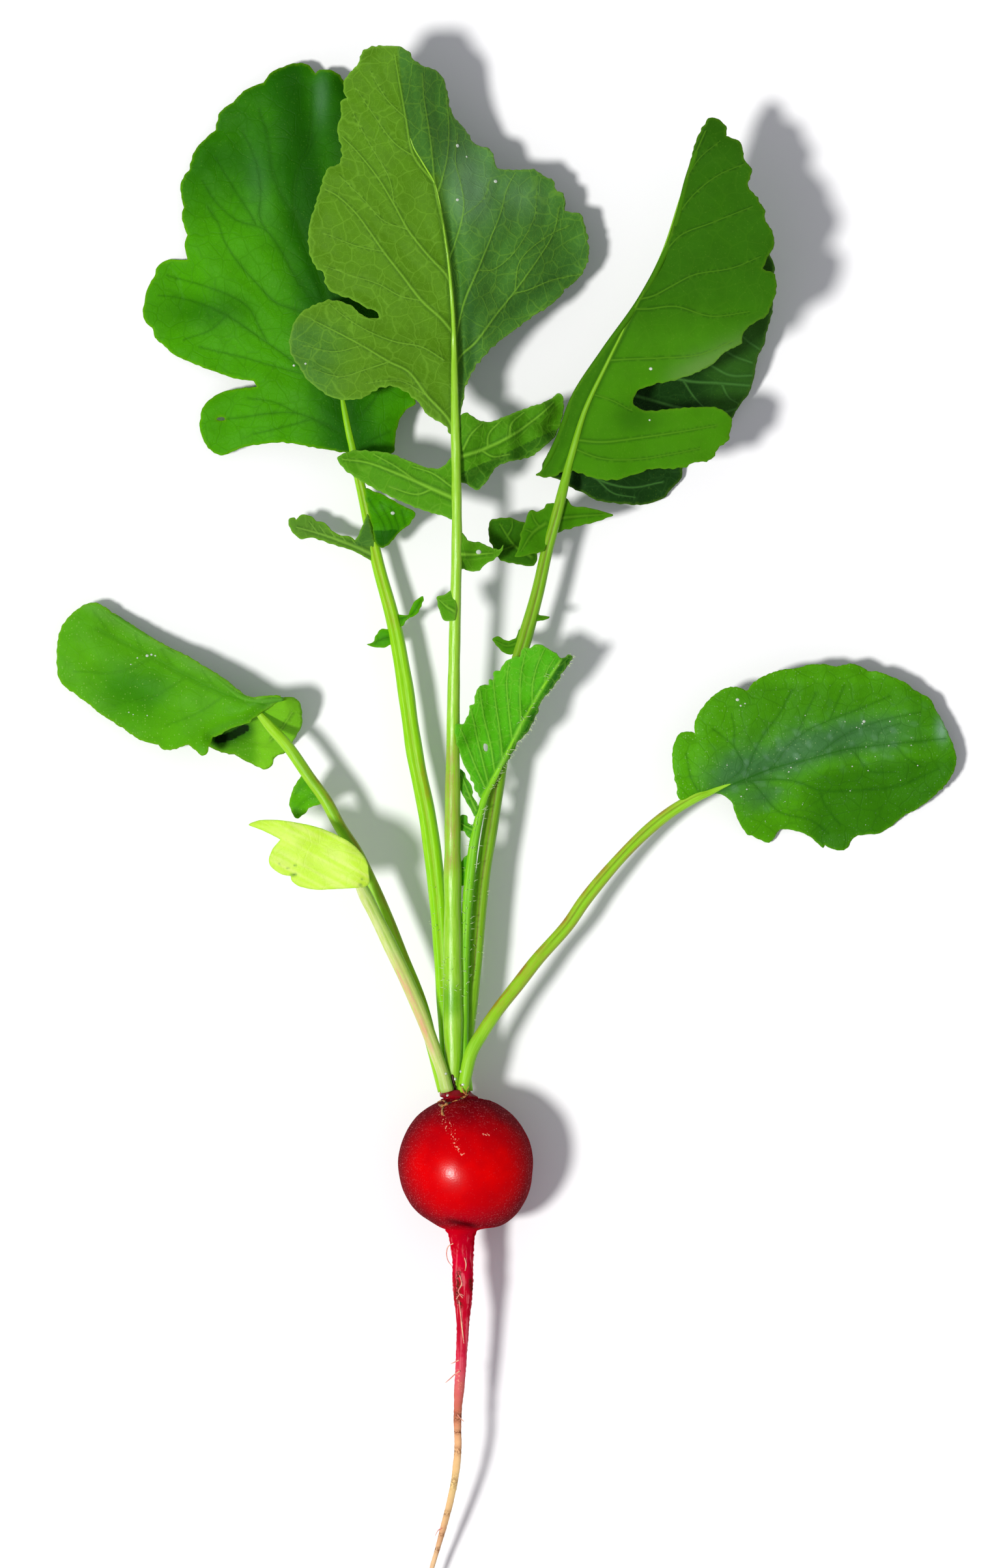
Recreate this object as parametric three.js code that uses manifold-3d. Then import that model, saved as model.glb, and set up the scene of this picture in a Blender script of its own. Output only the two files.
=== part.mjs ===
// A small round radish, picked whole and laid on its side on a table: the swollen root with its
// taproot, and seven leaves that fan out from the crown. Millimetres, +Z up. The leaves point
// along +Y and the taproot along -Y. The origin is on the table, under the middle of the root.
import * as THREE from 'three';
import { mergeVertices } from 'three/addons/utils/BufferGeometryUtils.js';
import Module from 'manifold-3d';

const wasm = await Module();
wasm.setup();

// Driving dimensions
const BULB_RADIUS = 12.45;       // the swollen root is about 25 mm across
const BULB_SINK = 0.12;          // how much of the bulb is pressed flat where it rests
const BULB_LENGTH = 1.0;         // the bulb's length over its width
const CROWN_Y = 13.0;            // flat end of the crown, where the stalks grow
const CROWN_X = -2.1;            // the crown sits a little to the left of the middle
const CROWN_RADIUS = 3.7;
const CROWN_RING = 2.35;         // six stalks stand on this ring, around the seventh
const STALK_START = CROWN_Y + 0.35;
const STALK_BASE_RADIUS = 0.95;
const BLADE_THICKNESS = 0.5;
const GAP = 0.55;                // clear space between a midrib and its blade
const FOLD_STEP = 0.9;           // the under half starts this much lower along the fold
const FOLD_RADIUS = 0.8;         // the round turn that joins the two halves
const CELL = 5.5;                // spacing of the points on a blade's surface
const STALK_SIDES = 8;
const RIB_STEP = 5;              // spacing of the points along a midrib
const BULB_CENTRE_Z = BULB_RADIUS - BULB_SINK;

const COLOURS = {
  skin: '#b80f1e',
  stalk: '#8fc22a',
  palestalk: '#b9cf63',
  upper: '#3f8a12',
  under: '#5c8a2c',
  seedleaf: '#c8ea5c',
};

// ---------------------------------------------------------------- solids

function solid(geometry) {
  const bare = geometry.clone();
  bare.deleteAttribute('normal');
  bare.deleteAttribute('uv');
  const merged = mergeVertices(bare, 1e-4);
  return new wasm.Manifold(new wasm.Mesh({
    numProp: 3,
    vertProperties: new Float32Array(merged.attributes.position.array),
    triVerts: new Uint32Array(merged.index.array),
  }));
}

function geometryOf(manifold) {
  const mesh = manifold.getMesh();
  const geometry = new THREE.BufferGeometry();
  geometry.setAttribute('position', new THREE.BufferAttribute(mesh.vertProperties, 3));
  geometry.setIndex(new THREE.BufferAttribute(mesh.triVerts, 1));
  geometry.computeVertexNormals();
  return geometry;
}

// A surface through stated heights: each spot [x, y, z] counts for less with distance.
function surface(spots, softness = 7) {
  return (x, y) => {
    let sum = 0;
    let weight = 0;
    for (const [sx, sy, sz] of spots) {
      const w = ((x - sx) ** 2 + (y - sy) ** 2 + softness ** 2) ** -2;
      sum += w * sz;
      weight += w;
    }
    return sum / weight;
  };
}

// Distance in plan from (x, y) to a line through the given points.
function distanceTo(line, x, y) {
  let best = Infinity;
  for (let i = 1; i < line.length; i += 1) {
    const [ax, ay] = line[i - 1];
    const [bx, by] = line[i];
    const along = ((x - ax) * (bx - ax) + (y - ay) * (by - ay)) / ((bx - ax) ** 2 + (by - ay) ** 2);
    const t = THREE.MathUtils.clamp(along, 0, 1);
    best = Math.min(best, Math.hypot(x - ax - t * (bx - ax), y - ay - t * (by - ay)));
  }
  return best;
}

// The half of a blade that is folded under the other: it opens away from it past the fold.
function foldedUnder(height, fold, gape) {
  return (x, y) => height(x, y) - FOLD_STEP - gape * distanceTo(fold, x, y);
}

// How much longer the upright distance through a sloping sheet is than its thickness.
function steepness(height, x, y) {
  const step = 0.5;
  const dx = (height(x + step, y) - height(x - step, y)) / (2 * step);
  const dy = (height(x, y + step) - height(x, y - step)) / (2 * step);
  return Math.hypot(1, dx, dy);
}

// A thin blade: a sheet that follows the surface, trimmed to its outline. Where it would pass
// below the table it lies flat on it.
function blade(outline, height) {
  const shape = new THREE.Shape();
  const points = outline.map(([x, y]) => new THREE.Vector3(x, y, 0));
  const margin = new THREE.CatmullRomCurve3(points, true, 'centripetal');
  shape.setFromPoints(margin.getPoints(points.length * 2).slice(0, -1));
  const prism = new THREE.ExtrudeGeometry(shape, { depth: 60, bevelEnabled: false });
  prism.translate(0, 0, -10);
  prism.computeBoundingBox();
  const { min, max } = prism.boundingBox;
  const width = max.x - min.x + 1;
  const length = max.y - min.y + 1;
  const slab = new THREE.BoxGeometry(
    width, length, 2, Math.ceil(width / CELL), Math.ceil(length / CELL), 1,
  );
  slab.translate((min.x + max.x) / 2, (min.y + max.y) / 2, 0);
  const position = slab.attributes.position;
  for (let i = 0; i < position.count; i += 1) {
    const x = position.getX(i);
    const y = position.getY(i);
    const half = (BLADE_THICKNESS / 2) * steepness(height, x, y);
    const low = Math.max(0, height(x, y) - half);
    position.setZ(i, position.getZ(i) > 0 ? low + 2 * half : low);
  }
  return solid(prism).intersect(solid(slab));
}

// The largest separate body of a solid.
function largest(manifold) {
  return manifold.decompose().reduce((a, b) => (b.volume() > a.volume() ? b : a));
}

// A round tapering stalk through points [x, y, z, radius].
function stalk(points, extra = 0) {
  const line = new THREE.CatmullRomCurve3(
    points.map(([x, y, z]) => new THREE.Vector3(x, y, z)), false, 'centripetal',
  );
  const rings = points.length - 1;
  const tube = new THREE.CylinderGeometry(1, 1, 1, STALK_SIDES, rings);
  const position = tube.attributes.position;
  const up = new THREE.Vector3(0, 0, 1);
  for (let i = 0; i < position.count; i += 1) {
    const t = position.getY(i) + 0.5;
    const at = t * (points.length - 1);
    const k = Math.min(Math.floor(at), points.length - 2);
    const radius = THREE.MathUtils.lerp(points[k][3], points[k + 1][3], at - k) + extra;
    const ahead = line.getTangent(t);
    const side = ahead.clone().cross(up).normalize();
    const above = side.clone().cross(ahead);
    const place = line.getPoint(t)
      .addScaledVector(side, position.getX(i) * radius)
      .addScaledVector(above, position.getZ(i) * radius);
    position.setXYZ(i, place.x, place.y, place.z);
  }
  return solid(tube);
}

// Points of a midrib that runs just above (+1) or below (-1) its blade, through [x, y, radius].
function along(height, side, points) {
  const rib = [];
  points.forEach(([x, y, radius], i) => {
    const [nextX, nextY, nextRadius] = points[Math.min(i + 1, points.length - 1)];
    const parts = Math.max(1, Math.round(Math.hypot(nextX - x, nextY - y) / RIB_STEP));
    for (let k = 0; k < (i < points.length - 1 ? parts : 1); k += 1) {
      const px = THREE.MathUtils.lerp(x, nextX, k / parts);
      const py = THREE.MathUtils.lerp(y, nextY, k / parts);
      const r = THREE.MathUtils.lerp(radius, nextRadius, k / parts);
      const away = (r + BLADE_THICKNESS / 2 + GAP) * steepness(height, px, py);
      rib.push([px, py, height(px, py) + side * away, r]);
    }
  });
  return rib;
}

// Where a stalk grows out of the crown: six around one.
function crownPoint(degrees, ring = CROWN_RING) {
  const angle = THREE.MathUtils.degToRad(degrees);
  return [
    CROWN_X + ring * Math.cos(angle), STALK_START,
    BULB_CENTRE_Z + ring * Math.sin(angle), STALK_BASE_RADIUS,
  ];
}

// ---------------------------------------------------------------- the swollen root

// The bulb is nearly a ball. The taproot leaves its far end, bends a little and thins to a
// thread, and the crown is a short stub that the stalks grow from.
function rootSolid() {
  const profile = [];
  const steps = 16;
  for (let i = 0; i <= steps; i += 1) {
    const angle = -Math.PI / 2 + (Math.PI * i) / steps;
    const shoulder = 1 + 0.02 * Math.sin(2 * angle);
    profile.push(new THREE.Vector2(
      i === 0 || i === steps ? 0 : BULB_RADIUS * Math.cos(angle) * shoulder,
      BULB_RADIUS * BULB_LENGTH * Math.sin(angle),
    ));
  }
  const bulb = new THREE.LatheGeometry(profile, 32);
  bulb.translate(0, 0, BULB_CENTRE_Z);
  const taproot = stalk([
    [-0.4, -9.5, 12.4, 3.9],
    [-0.5, -11.8, 12.5, 2.9],
    [-0.7, -14.5, 12.7, 2.15],
    [-0.5, -19, 12.9, 1.9],
    [-0.4, -24, 13.0, 1.75],
    [-0.5, -29, 13.1, 1.2],
    [-0.9, -36, 13.1, 1.0],
    [-1.3, -45, 12.9, 0.8],
    [-1.4, -52, 12.2, 0.68],
    [-2.0, -58, 11.0, 0.66],
    [-3.2, -64, 9.3, 0.62],
    [-4.9, -70, 7.4, 0.5],
    [-6.6, -76, 5.6, 0.42],
    [-8.0, -83, 4.0, 0.32],
    [-8.6, -92, 2.8, 0.2],
  ]);
  const crown = new THREE.CylinderGeometry(CROWN_RADIUS, CROWN_RADIUS + 1.6, 3, 20);
  crown.translate(CROWN_X, CROWN_Y - 1.5, BULB_CENTRE_Z);
  const below = new THREE.BoxGeometry(60, 60, 10);
  below.translate(0, 0, -5);
  return solid(bulb).add(taproot).add(solid(crown)).subtract(solid(below));
}

// ---------------------------------------------------------------- the leaves

// Each leaf has a stalk that runs on as the midrib of its blade, and small leaflets along the
// stalk. rib says whether the midrib shows above (+1) its blade or lies below it (-1).
const LEAVES = [
  {
    name: 'left_tall',
    rib: -1,
    colour: COLOURS.upper,
    sheets: [{
      spots: [
        [-59, 158, -2], [-50, 147, 1.8], [-52, 178, 1.8], [-46, 190, 2.2], [-36, 201, 3],
        [-25, 201, 4.2], [-28, 180, 5.4], [-35, 170, 4.6], [-25, 160, 6.4], [-40, 160, 3.8],
        [-22, 140, 7.4], [-35, 140, 5.2], [-48, 136, 2.4], [-12, 135, 7.6], [-18, 188, 6.4],
        [-30, 190, 4.6], [-18, 160, 7],
      ],
      outline: [
        [-22, 199], [-27, 201], [-31.5, 202.3], [-37, 199.5], [-42.5, 196], [-46, 191.5],
        [-50.5, 185], [-52.4, 179], [-52, 173], [-51.4, 166.6], [-56, 165], [-58.8, 160],
        [-58.5, 154.5], [-54.5, 149.3], [-46.5, 145.8], [-39, 143.4], [-45.5, 141.7],
        [-48.8, 138], [-48, 132.5], [-44.5, 130.8], [-37, 132.3], [-28.5, 131.8],
        [-20, 129.8], [-13.3, 130.8], [-12, 137], [-9.2, 139.8], [-11, 146], [-13, 158],
        [-14.5, 172], [-17.5, 188],
      ],
    }],
    from: 238,
    free: [
      [-3.9, 28, 10.1, 1.3], [-4.7, 42.5, 9.6, 1.5], [-5.5, 52, 9.1, 1.55],
      [-7, 63.5, 8.6, 1.55], [-9.3, 75, 8.1, 1.5], [-11.5, 90, 7.6, 1.4],
      [-13.4, 100, 7.2, 1.25], [-16.1, 110, 6.8, 1.15], [-18.3, 120, 6.3, 1.05],
    ],
    midrib: [
      [-20.3, 130, 0.95], [-22.5, 140, 0.9], [-25.5, 159, 0.8], [-28, 166, 0.7],
      [-31.7, 175, 0.6], [-35.5, 183, 0.5], [-37, 192, 0.4],
    ],
    leaflets: [
      {
        level: 0.2,
        rise: [-28, 116, -1.4],
        outline: [
          [-17, 110.9], [-20.5, 112.6], [-25, 114], [-30.5, 114.9], [-32.6, 118.3],
          [-28.5, 119.1], [-24, 116], [-20.3, 114.6], [-18.8, 119.5], [-17.5, 118],
        ],
      },
      {
        level: 0.3,
        rise: [-10, 118, 1.2],
        outline: [
          [-18.5, 124], [-15, 122.8], [-9.2, 119.5], [-12, 116.3], [-15.2, 113.2], [-16.6, 115],
        ],
      },
      {
        level: 0.2,
        rise: [-9, 103, 0.8],
        outline: [[-13.3, 101.2], [-10, 101.8], [-7.8, 104.3], [-9, 101], [-12.7, 98.6]],
      },
      {
        level: 0.2,
        rise: [-17, 96, -0.4],
        outline: [[-13.4, 98.6], [-15.5, 98.3], [-18.2, 95.4], [-15, 94.8], [-12.8, 95.5]],
      },
    ],
  },
  {
    name: 'centre_tall',
    rib: 1,
    colour: COLOURS.under,
    sheets: [{
      spots: [
        [-2.2, 134, 17.8], [-2, 140, 18], [-2.6, 160, 19], [-4.4, 175, 20.4], [-9.5, 187, 21.8],
        [-12, 200, 23.2], [-17, 205, 24], [-14, 150, 17.2], [-30, 150, 14.2], [-28, 168, 14],
        [-15, 170, 18], [-24, 190, 16], [-20, 201, 19.5], [5, 150, 14], [8, 165, 14.2],
        [8, 180, 12], [16, 180, 8], [22, 172, 6.6], [20, 162, 7], [12, 156, 10],
        [4, 190, 14], [-2, 197, 18.5], [2, 172, 17.4],
      ],
      outline: [
        [-17.5, 205], [-12, 205.1], [-9, 202], [-4.5, 199.8], [-2.6, 193.5], [1.5, 188],
        [5.5, 183.3], [12.8, 182.6], [17, 179], [21.5, 174.5], [22.8, 168], [19.5, 161.5],
        [13, 156], [5.5, 150.5], [1, 145], [0, 138], [-2.6, 134.3], [-7, 137.5], [-11, 141.5],
        [-18, 141.2], [-25, 141], [-30, 145.5], [-32.3, 151.5], [-29.5, 156.6], [-25, 159.4],
        [-26.5, 163.5], [-28.8, 171], [-26.5, 180], [-23.2, 184.5], [-23.5, 190.5],
        [-22, 196], [-20.5, 201.5],
      ],
    }],
    from: 0,
    ring: 0,
    free: [
      [-2.3, 20, 13.2, 1.2], [-2.5, 28, 14.2, 1.45], [-2.45, 40, 15.4, 1.5],
      [-2.4, 60, 17, 1.45], [-2.3, 80, 18.2, 1.15], [-1.9, 100, 18.9, 1.0],
      [-1.6, 115, 19.2, 0.95],
    ],
    midrib: [
      [-1.9, 132, 0.9], [-2.1, 150, 0.8], [-2.6, 160, 0.75], [-3.8, 170, 0.7],
      [-5.8, 180.2, 0.65], [-9.5, 186, 0.55], [-11.7, 195, 0.45], [-13, 202.5, 0.35],
    ],
    leaflets: [
      {
        spots: [[-3, 125, 17.1], [-12, 127, 16], [-22, 130, 14.2]],
        outline: [
          [-2.4, 129.5], [-5, 128], [-10, 129], [-18, 131], [-23.5, 129.7], [-20.5, 126.3],
          [-11, 121.3], [-4, 119], [-2.2, 118.6],
        ],
      },
      {
        spots: [[0, 130, 17.1], [7, 132, 14.4], [16.5, 138, 10.4], [12, 131, 11.4]],
        outline: [
          [-0.9, 137], [4.5, 136.3], [11, 138.8], [17, 141.4], [17.3, 136.5], [14, 131.6],
          [6, 128], [1.5, 124.2], [-0.8, 125],
        ],
      },
      {
        spots: [[-1, 113, 17], [6, 112, 14.6]],
        outline: [[-1.2, 115.8], [2.5, 114.2], [6.6, 114], [5.5, 111.2], [2, 109], [-1.2, 109.3]],
      },
      {
        spots: [[-2, 102, 16.9], [-5, 102, 15.8]],
        outline: [[-2.2, 105.3], [-5.2, 104.2], [-4.6, 100.4], [-2.2, 99.6]],
      },
    ],
  },
  {
    name: 'right_tall',
    rib: 1,
    colour: COLOURS.under,
    sheets: [
      {
        spots: [
          [14, 127, 11], [18, 138, 12.6], [22, 146, 14.6], [28, 153, 17], [34, 163, 19.4],
          [38.5, 174, 21], [41.5, 186, 21.6], [44.5, 192, 21.8], [30, 127, 14.6],
          [45, 130, 17.6], [49, 136, 19], [33, 141, 16.6], [40, 144, 19.6], [50, 150, 23],
          [56, 160, 27], [56, 168, 27.6], [55, 175, 26.4], [52, 183, 24.6], [48, 190, 22.6],
          [40, 160, 21.6], [46, 170, 24],
        ],
        outline: [
          [13.5, 127], [16.5, 133.5], [19.5, 141], [25, 149.7], [32, 159.5], [37.5, 170.5],
          [40.5, 181.5], [44.5, 192], [48, 189.5], [52.2, 182], [55, 173], [56.5, 168.5],
          [57, 161], [53.5, 154.5], [46, 147.2], [38, 143.8], [31.3, 140.8], [37, 138.6],
          [46.5, 138.8], [49, 135.5], [45, 129.3], [36, 127.6], [27, 125.6], [19.5, 127.4],
        ],
      },
      {
        gape: 0.62,
        fold: [
          [14, 127], [17.2, 133.5], [20, 141], [25.5, 149.4], [32.4, 159.2], [37.9, 170.2],
          [40.9, 181.2], [44, 190],
        ],
        outline: [
          [14, 127.4], [16.8, 133.3], [19.9, 140.8], [25.4, 149.4], [32.4, 159.2],
          [37.9, 170.2], [40.9, 181.3], [44, 189.6], [48, 183], [53.5, 172], [56.8, 164], [55.5, 152],
          [52.5, 143], [49.3, 137.5], [43, 130], [39, 124.5], [33, 121.3], [26, 121.7],
          [19.5, 124],
        ],
      },
    ],
    from: 300,
    free: [
      [0.1, 22, 10.2, 1.2], [1.5, 35, 10.3, 1.3], [3, 52, 10.4, 1.35], [5, 65, 10.5, 1.35],
      [7, 78, 10.6, 1.3], [9, 90, 10.8, 1.3], [11, 97, 10.9, 1.25], [13.2, 105, 11, 1.15],
      [15, 113, 11.4, 1.05], [16.8, 119.5, 12.2, 1.0],
    ],
    midrib: [
      [19, 129, 0.95], [22, 138.5, 0.9], [25.5, 146, 0.85], [31, 157, 0.8], [36, 167, 0.7],
      [40, 179, 0.6], [43.8, 189, 0.45],
    ],
    leaflets: [
      {
        spots: [[19, 119, 11.2], [27, 119, 9.6]],
        outline: [[17, 122], [19.5, 121], [22, 120.7], [27.2, 119.3], [20, 117], [15.6, 115.6]],
      },
      {
        spots: [[13, 116, 11.6], [9.5, 113, 12.8]],
        outline: [
          [16.4, 121], [13.8, 120], [11.8, 120], [11, 118], [9.8, 113.5], [9, 111.3],
          [12, 111.4], [14.6, 112.5],
        ],
      },
      {
        spots: [[9, 112, 10.4], [5, 118, 9], [8, 118, 9.6]],
        outline: [
          [13.4, 112.6], [10.6, 117.8], [8, 118.8], [4.5, 118.3], [4.2, 115], [5.8, 111.5],
          [8.5, 110.3], [12.8, 109.8],
        ],
      },
      {
        spots: [[13, 101, 11], [15.5, 100, 10.4]],
        outline: [[11.8, 102.4], [13.5, 101.2], [15.5, 100.5], [14, 99.6], [11, 99.3]],
      },
      {
        spots: [[10, 96, 10.8], [5, 96.6, 10]],
        outline: [[11.3, 98.6], [9, 96.7], [5.5, 97], [4.9, 95.8], [7.8, 93.5], [10, 93.6]],
      },
    ],
  },
  {
    name: 'young',
    rib: 1,
    colour: COLOURS.upper,
    sheets: [{
      spots: [
        [3.7, 68, 12.8], [7.4, 75, 13.8], [10.6, 81.4, 14.7], [14.1, 87.4, 15.2],
        [17.3, 92.3, 15.6], [-2, 80, 12.4], [1.5, 85, 13], [5, 90, 13.6], [10, 95, 14.6],
        [15, 94.8, 15.4], [6.5, 71, 12.4], [8.8, 75.8, 12.7], [13.4, 83.5, 13.4],
        [19.5, 93.4, 14.6],
      ],
      outline: [
        [2.9, 67.3], [5.5, 70], [8.8, 75.4], [13.4, 83], [17.6, 89.4], [19.7, 93.5],
        [15.5, 94.4], [12.5, 95.3], [8.8, 93], [4.4, 89.2], [1, 84.6], [-2, 80.2],
        [-1, 75], [1.2, 70.5],
      ],
    }],
    from: 358,
    free: [
      [-0.3, 21, 12.3, 0.8], [-0.3, 30, 12.7, 0.85], [-0.1, 40.5, 13, 0.9],
      [0.7, 52, 13.4, 0.9], [1.8, 60.5, 13.7, 0.85],
    ],
    midrib: [
      [3.8, 68, 0.7], [7.4, 75, 0.55], [10.6, 81.4, 0.45], [14.1, 87.4, 0.4], [17, 92, 0.3],
    ],
    leaflets: [
      {
        spots: [[2, 66, 13.6], [-1, 71, 12.2]],
        outline: [
          [2.9, 64.6], [2.7, 67.1], [1.1, 69.4], [-1.2, 72.6], [-1.4, 69.8], [-0.3, 67.3],
          [1.4, 63.6],
        ],
      },
      {
        spots: [[2, 61, 13.5], [-1, 63, 12.6]],
        outline: [[2.6, 62], [0.2, 63.8], [-0.8, 64.2], [-1.4, 61.5], [0.9, 59.4], [1.8, 59.8]],
      },
      {
        spots: [[0, 55, 13.2], [-1, 54, 12.8]],
        outline: [[1.4, 57.2], [0.2, 57], [-1.2, 55], [-1.1, 51], [0.6, 51]],
      },
    ],
  },
  {
    name: 'low_right',
    rib: -1,
    colour: COLOURS.upper,
    sheets: [{
      spots: [
        [90, 75, 4.2], [86, 84, 4.8], [76, 90, 6.4], [64, 92, 7.6], [50, 88, 8], [42, 82, 8.2],
        [38, 74, 8.6], [40, 67, 8.8], [50, 70, 9.6], [65, 75, 9.2], [80, 77, 6.6], [60, 67, 5.4],
        [51, 64, 3], [55, 59.5, -0.4], [62, 60.5, -1], [70, 57, -2.6], [78, 62, 0],
        [86, 67, 1.8], [72, 68, 4.6],
      ],
      outline: [
        [41.5, 67.6], [38.6, 69], [38.1, 75], [40.5, 79.4], [42.6, 82], [47.5, 87.4],
        [52, 87.4], [57.5, 90.6], [64, 91.8], [71, 91.8], [78.5, 89.5], [85.5, 85.5],
        [88.7, 79.5], [90.5, 74.5], [88, 69.2], [82, 64.6], [76, 60.8], [71.5, 59.8],
        [68.5, 57.6], [63.5, 60.1], [58, 61.4], [55.5, 59], [51, 61.8], [48.6, 66.8],
      ],
    }],
    from: 52,
    free: [
      [1, 20.4, 14.6, 1.15], [5.9, 28.3, 13.4, 1.2], [13.2, 37.6, 11.6, 1.2],
      [21.8, 48.3, 10, 1.15], [30.3, 58.2, 8.8, 1.1], [37.5, 64.4, 7.7, 1.05],
    ],
    midrib: [
      [44, 68, 1.0], [50.9, 70.5, 0.85], [63.6, 74.5, 0.65], [75.6, 76.9, 0.5], [87, 78.1, 0.3],
    ],
    leaflets: [],
  },
  {
    name: 'low_left',
    rib: 1,
    colour: COLOURS.upper,
    ribSheet: 1,
    sheets: [
      {
        spots: [
          [-66, 102, 4], [-61.8, 99.4, 4.8], [-54.9, 95.2, 6.6], [-47.2, 91, 8.6],
          [-41.9, 87.2, 10.6], [-34, 86, 13.6], [-75, 92, 1.4], [-72, 86.4, 1], [-64, 80.7, 1.4],
          [-58, 77.4, 2.6], [-48, 75, 5.6], [-46.5, 78.4, 8], [-66, 94, 6], [-58, 88, 8],
          [-50, 85, 10], [-42, 84, 13], [-38, 83.5, 14],
        ],
        outline: [
          [-66, 102.1], [-69.5, 103.2], [-73.2, 100.4], [-75.4, 94], [-74.2, 88], [-67, 82.6],
          [-58.5, 77.4], [-53, 76.2], [-48, 75.1], [-46.3, 78.4], [-40.3, 80.9], [-34.5, 85.2],
          [-34, 86], [-40, 85.9], [-47.2, 91], [-55, 95.3],
        ],
      },
      {
        gape: 1.1,
        fold: [[-67, 102], [-55.3, 94.7], [-47.5, 90.4], [-40.2, 85.4], [-33.5, 85.4]],
        outline: [
          [-66.3, 101.6], [-55.3, 94.8], [-47.6, 90.4], [-40.2, 85.5], [-33.4, 85.6], [-30.3, 84.3],
          [-30.2, 80.3], [-32.5, 76], [-35.4, 74.2], [-36.9, 72.4], [-42.6, 75.2], [-47, 76.6],
          [-54, 80.5], [-62, 84], [-69, 89], [-72, 95], [-70, 100.5],
        ],
      },
    ],
    from: 178,
    free: [
      [-6, 21, 12.2, 1.1], [-8.1, 29, 12.1, 1.2], [-11.2, 36.7, 12, 1.25],
      [-17.3, 51.3, 12, 1.25], [-23.1, 61.9, 12, 1.15], [-28.8, 71.1, 11.8, 1.05],
    ],
    midrib: [[-32.6, 76.6, 0.9], [-36.6, 80.8, 0.7]],
    leaflets: [
      {
        spots: [[-27, 67, 11.6], [-32, 65, 9]],
        outline: [
          [-28.6, 72.2], [-30.4, 71.2], [-32.3, 67.3], [-31.1, 63.4], [-28.5, 65.5],
          [-25.4, 66.2],
        ],
      },
    ],
  },
  {
    name: 'seed_leaf',
    rib: -1,
    colour: COLOURS.seedleaf,
    stalkColour: COLOURS.palestalk,
    sheets: [{
      spots: [
        [-18, 53, 21.6], [-20, 58, 22], [-30, 62, 21], [-40, 62.3, 19], [-36, 56, 18],
        [-30, 51, 18.4], [-22, 51, 20.4], [-27, 57, 19.4],
      ],
      outline: [
        [-39.9, 62.3], [-34.6, 63.3], [-26.9, 61.9], [-20.4, 58.6], [-17.7, 54], [-18, 51.2],
        [-21, 50.7], [-27.5, 50.4], [-32.2, 52.7], [-36.1, 55.2], [-35, 59], [-37.5, 61.1],
      ],
    }],
    from: 118,
    free: [
      [-5.4, 20.5, 14.9, 1.15], [-8.1, 27.5, 15.4, 1.25], [-10.8, 33.7, 16.2, 1.25],
      [-13.5, 39.4, 17, 1.2], [-16.4, 45.4, 17.9, 1.15],
    ],
    midrib: [[-19.4, 51.6, 1.0], [-21.4, 54.4, 0.7]],
    leaflets: [],
  },
];

// ---------------------------------------------------------------- assembly

const radish = new THREE.Group();

function addPiece(name, manifold, colour, roughness) {
  const material = new THREE.MeshStandardMaterial({ color: colour, roughness, metalness: 0 });
  const mesh = new THREE.Mesh(geometryOf(manifold), material);
  mesh.name = name;
  radish.add(mesh);
}

addPiece('swollen_root', rootSolid(), COLOURS.skin, 0.3);

for (const leaf of LEAVES) {
  const first = surface(leaf.sheets[0].spots);
  const surfaces = leaf.sheets.map((sheet) => (
    sheet.fold ? foldedUnder(first, sheet.fold, sheet.gape) : first
  ));
  const path = [
    crownPoint(leaf.from, leaf.ring),
    ...leaf.free,
    ...along(surfaces[leaf.ribSheet ?? 0], leaf.rib, leaf.midrib),
  ];
  addPiece(`stalk_${leaf.name}`, stalk(path), leaf.stalkColour ?? COLOURS.stalk, 0.4);
  const halves = leaf.sheets.map((sheet, i) => blade(sheet.outline, surfaces[i]));
  for (const { fold } of leaf.sheets.filter((sheet) => sheet.fold)) {
    halves.push(stalk(fold.map(([x, y]) => [x, y, first(x, y) - FOLD_STEP / 2, FOLD_RADIUS])));
  }
  addPiece(`blade_${leaf.name}`, halves.reduce((a, b) => a.add(b)), leaf.colour, 0.5);
  const clear = stalk(path, 0.35);
  leaf.leaflets.forEach((leaflet, i) => {
    const base = leaflet.outline[0];
    const near = path.reduce((a, b) => (
      Math.abs(b[1] - base[1]) < Math.abs(a[1] - base[1]) ? b : a
    ));
    const spots = leaflet.spots ?? [
      [near[0], near[1], near[2] + leaflet.level],
      [leaflet.rise[0], leaflet.rise[1], near[2] + leaflet.level + leaflet.rise[2]],
    ];
    const cut = largest(blade(leaflet.outline, surface(spots, 2)).subtract(clear));
    addPiece(`leaflet_${leaf.name}_${i + 1}`, cut, leaf.colour, 0.5);
  });
}

export default radish;
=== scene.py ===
"""A small round radish, picked whole and laid on its side, with its taproot and seven leaves.

Sizes are in millimetres until a mesh is made. The leaves point along +Y, the taproot along -Y,
and the table is at z = 0.
"""

import math

import bpy
import numpy as np
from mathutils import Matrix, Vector
from mathutils.bvhtree import BVHTree
from mathutils.geometry import delaunay_2d_cdt


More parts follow.
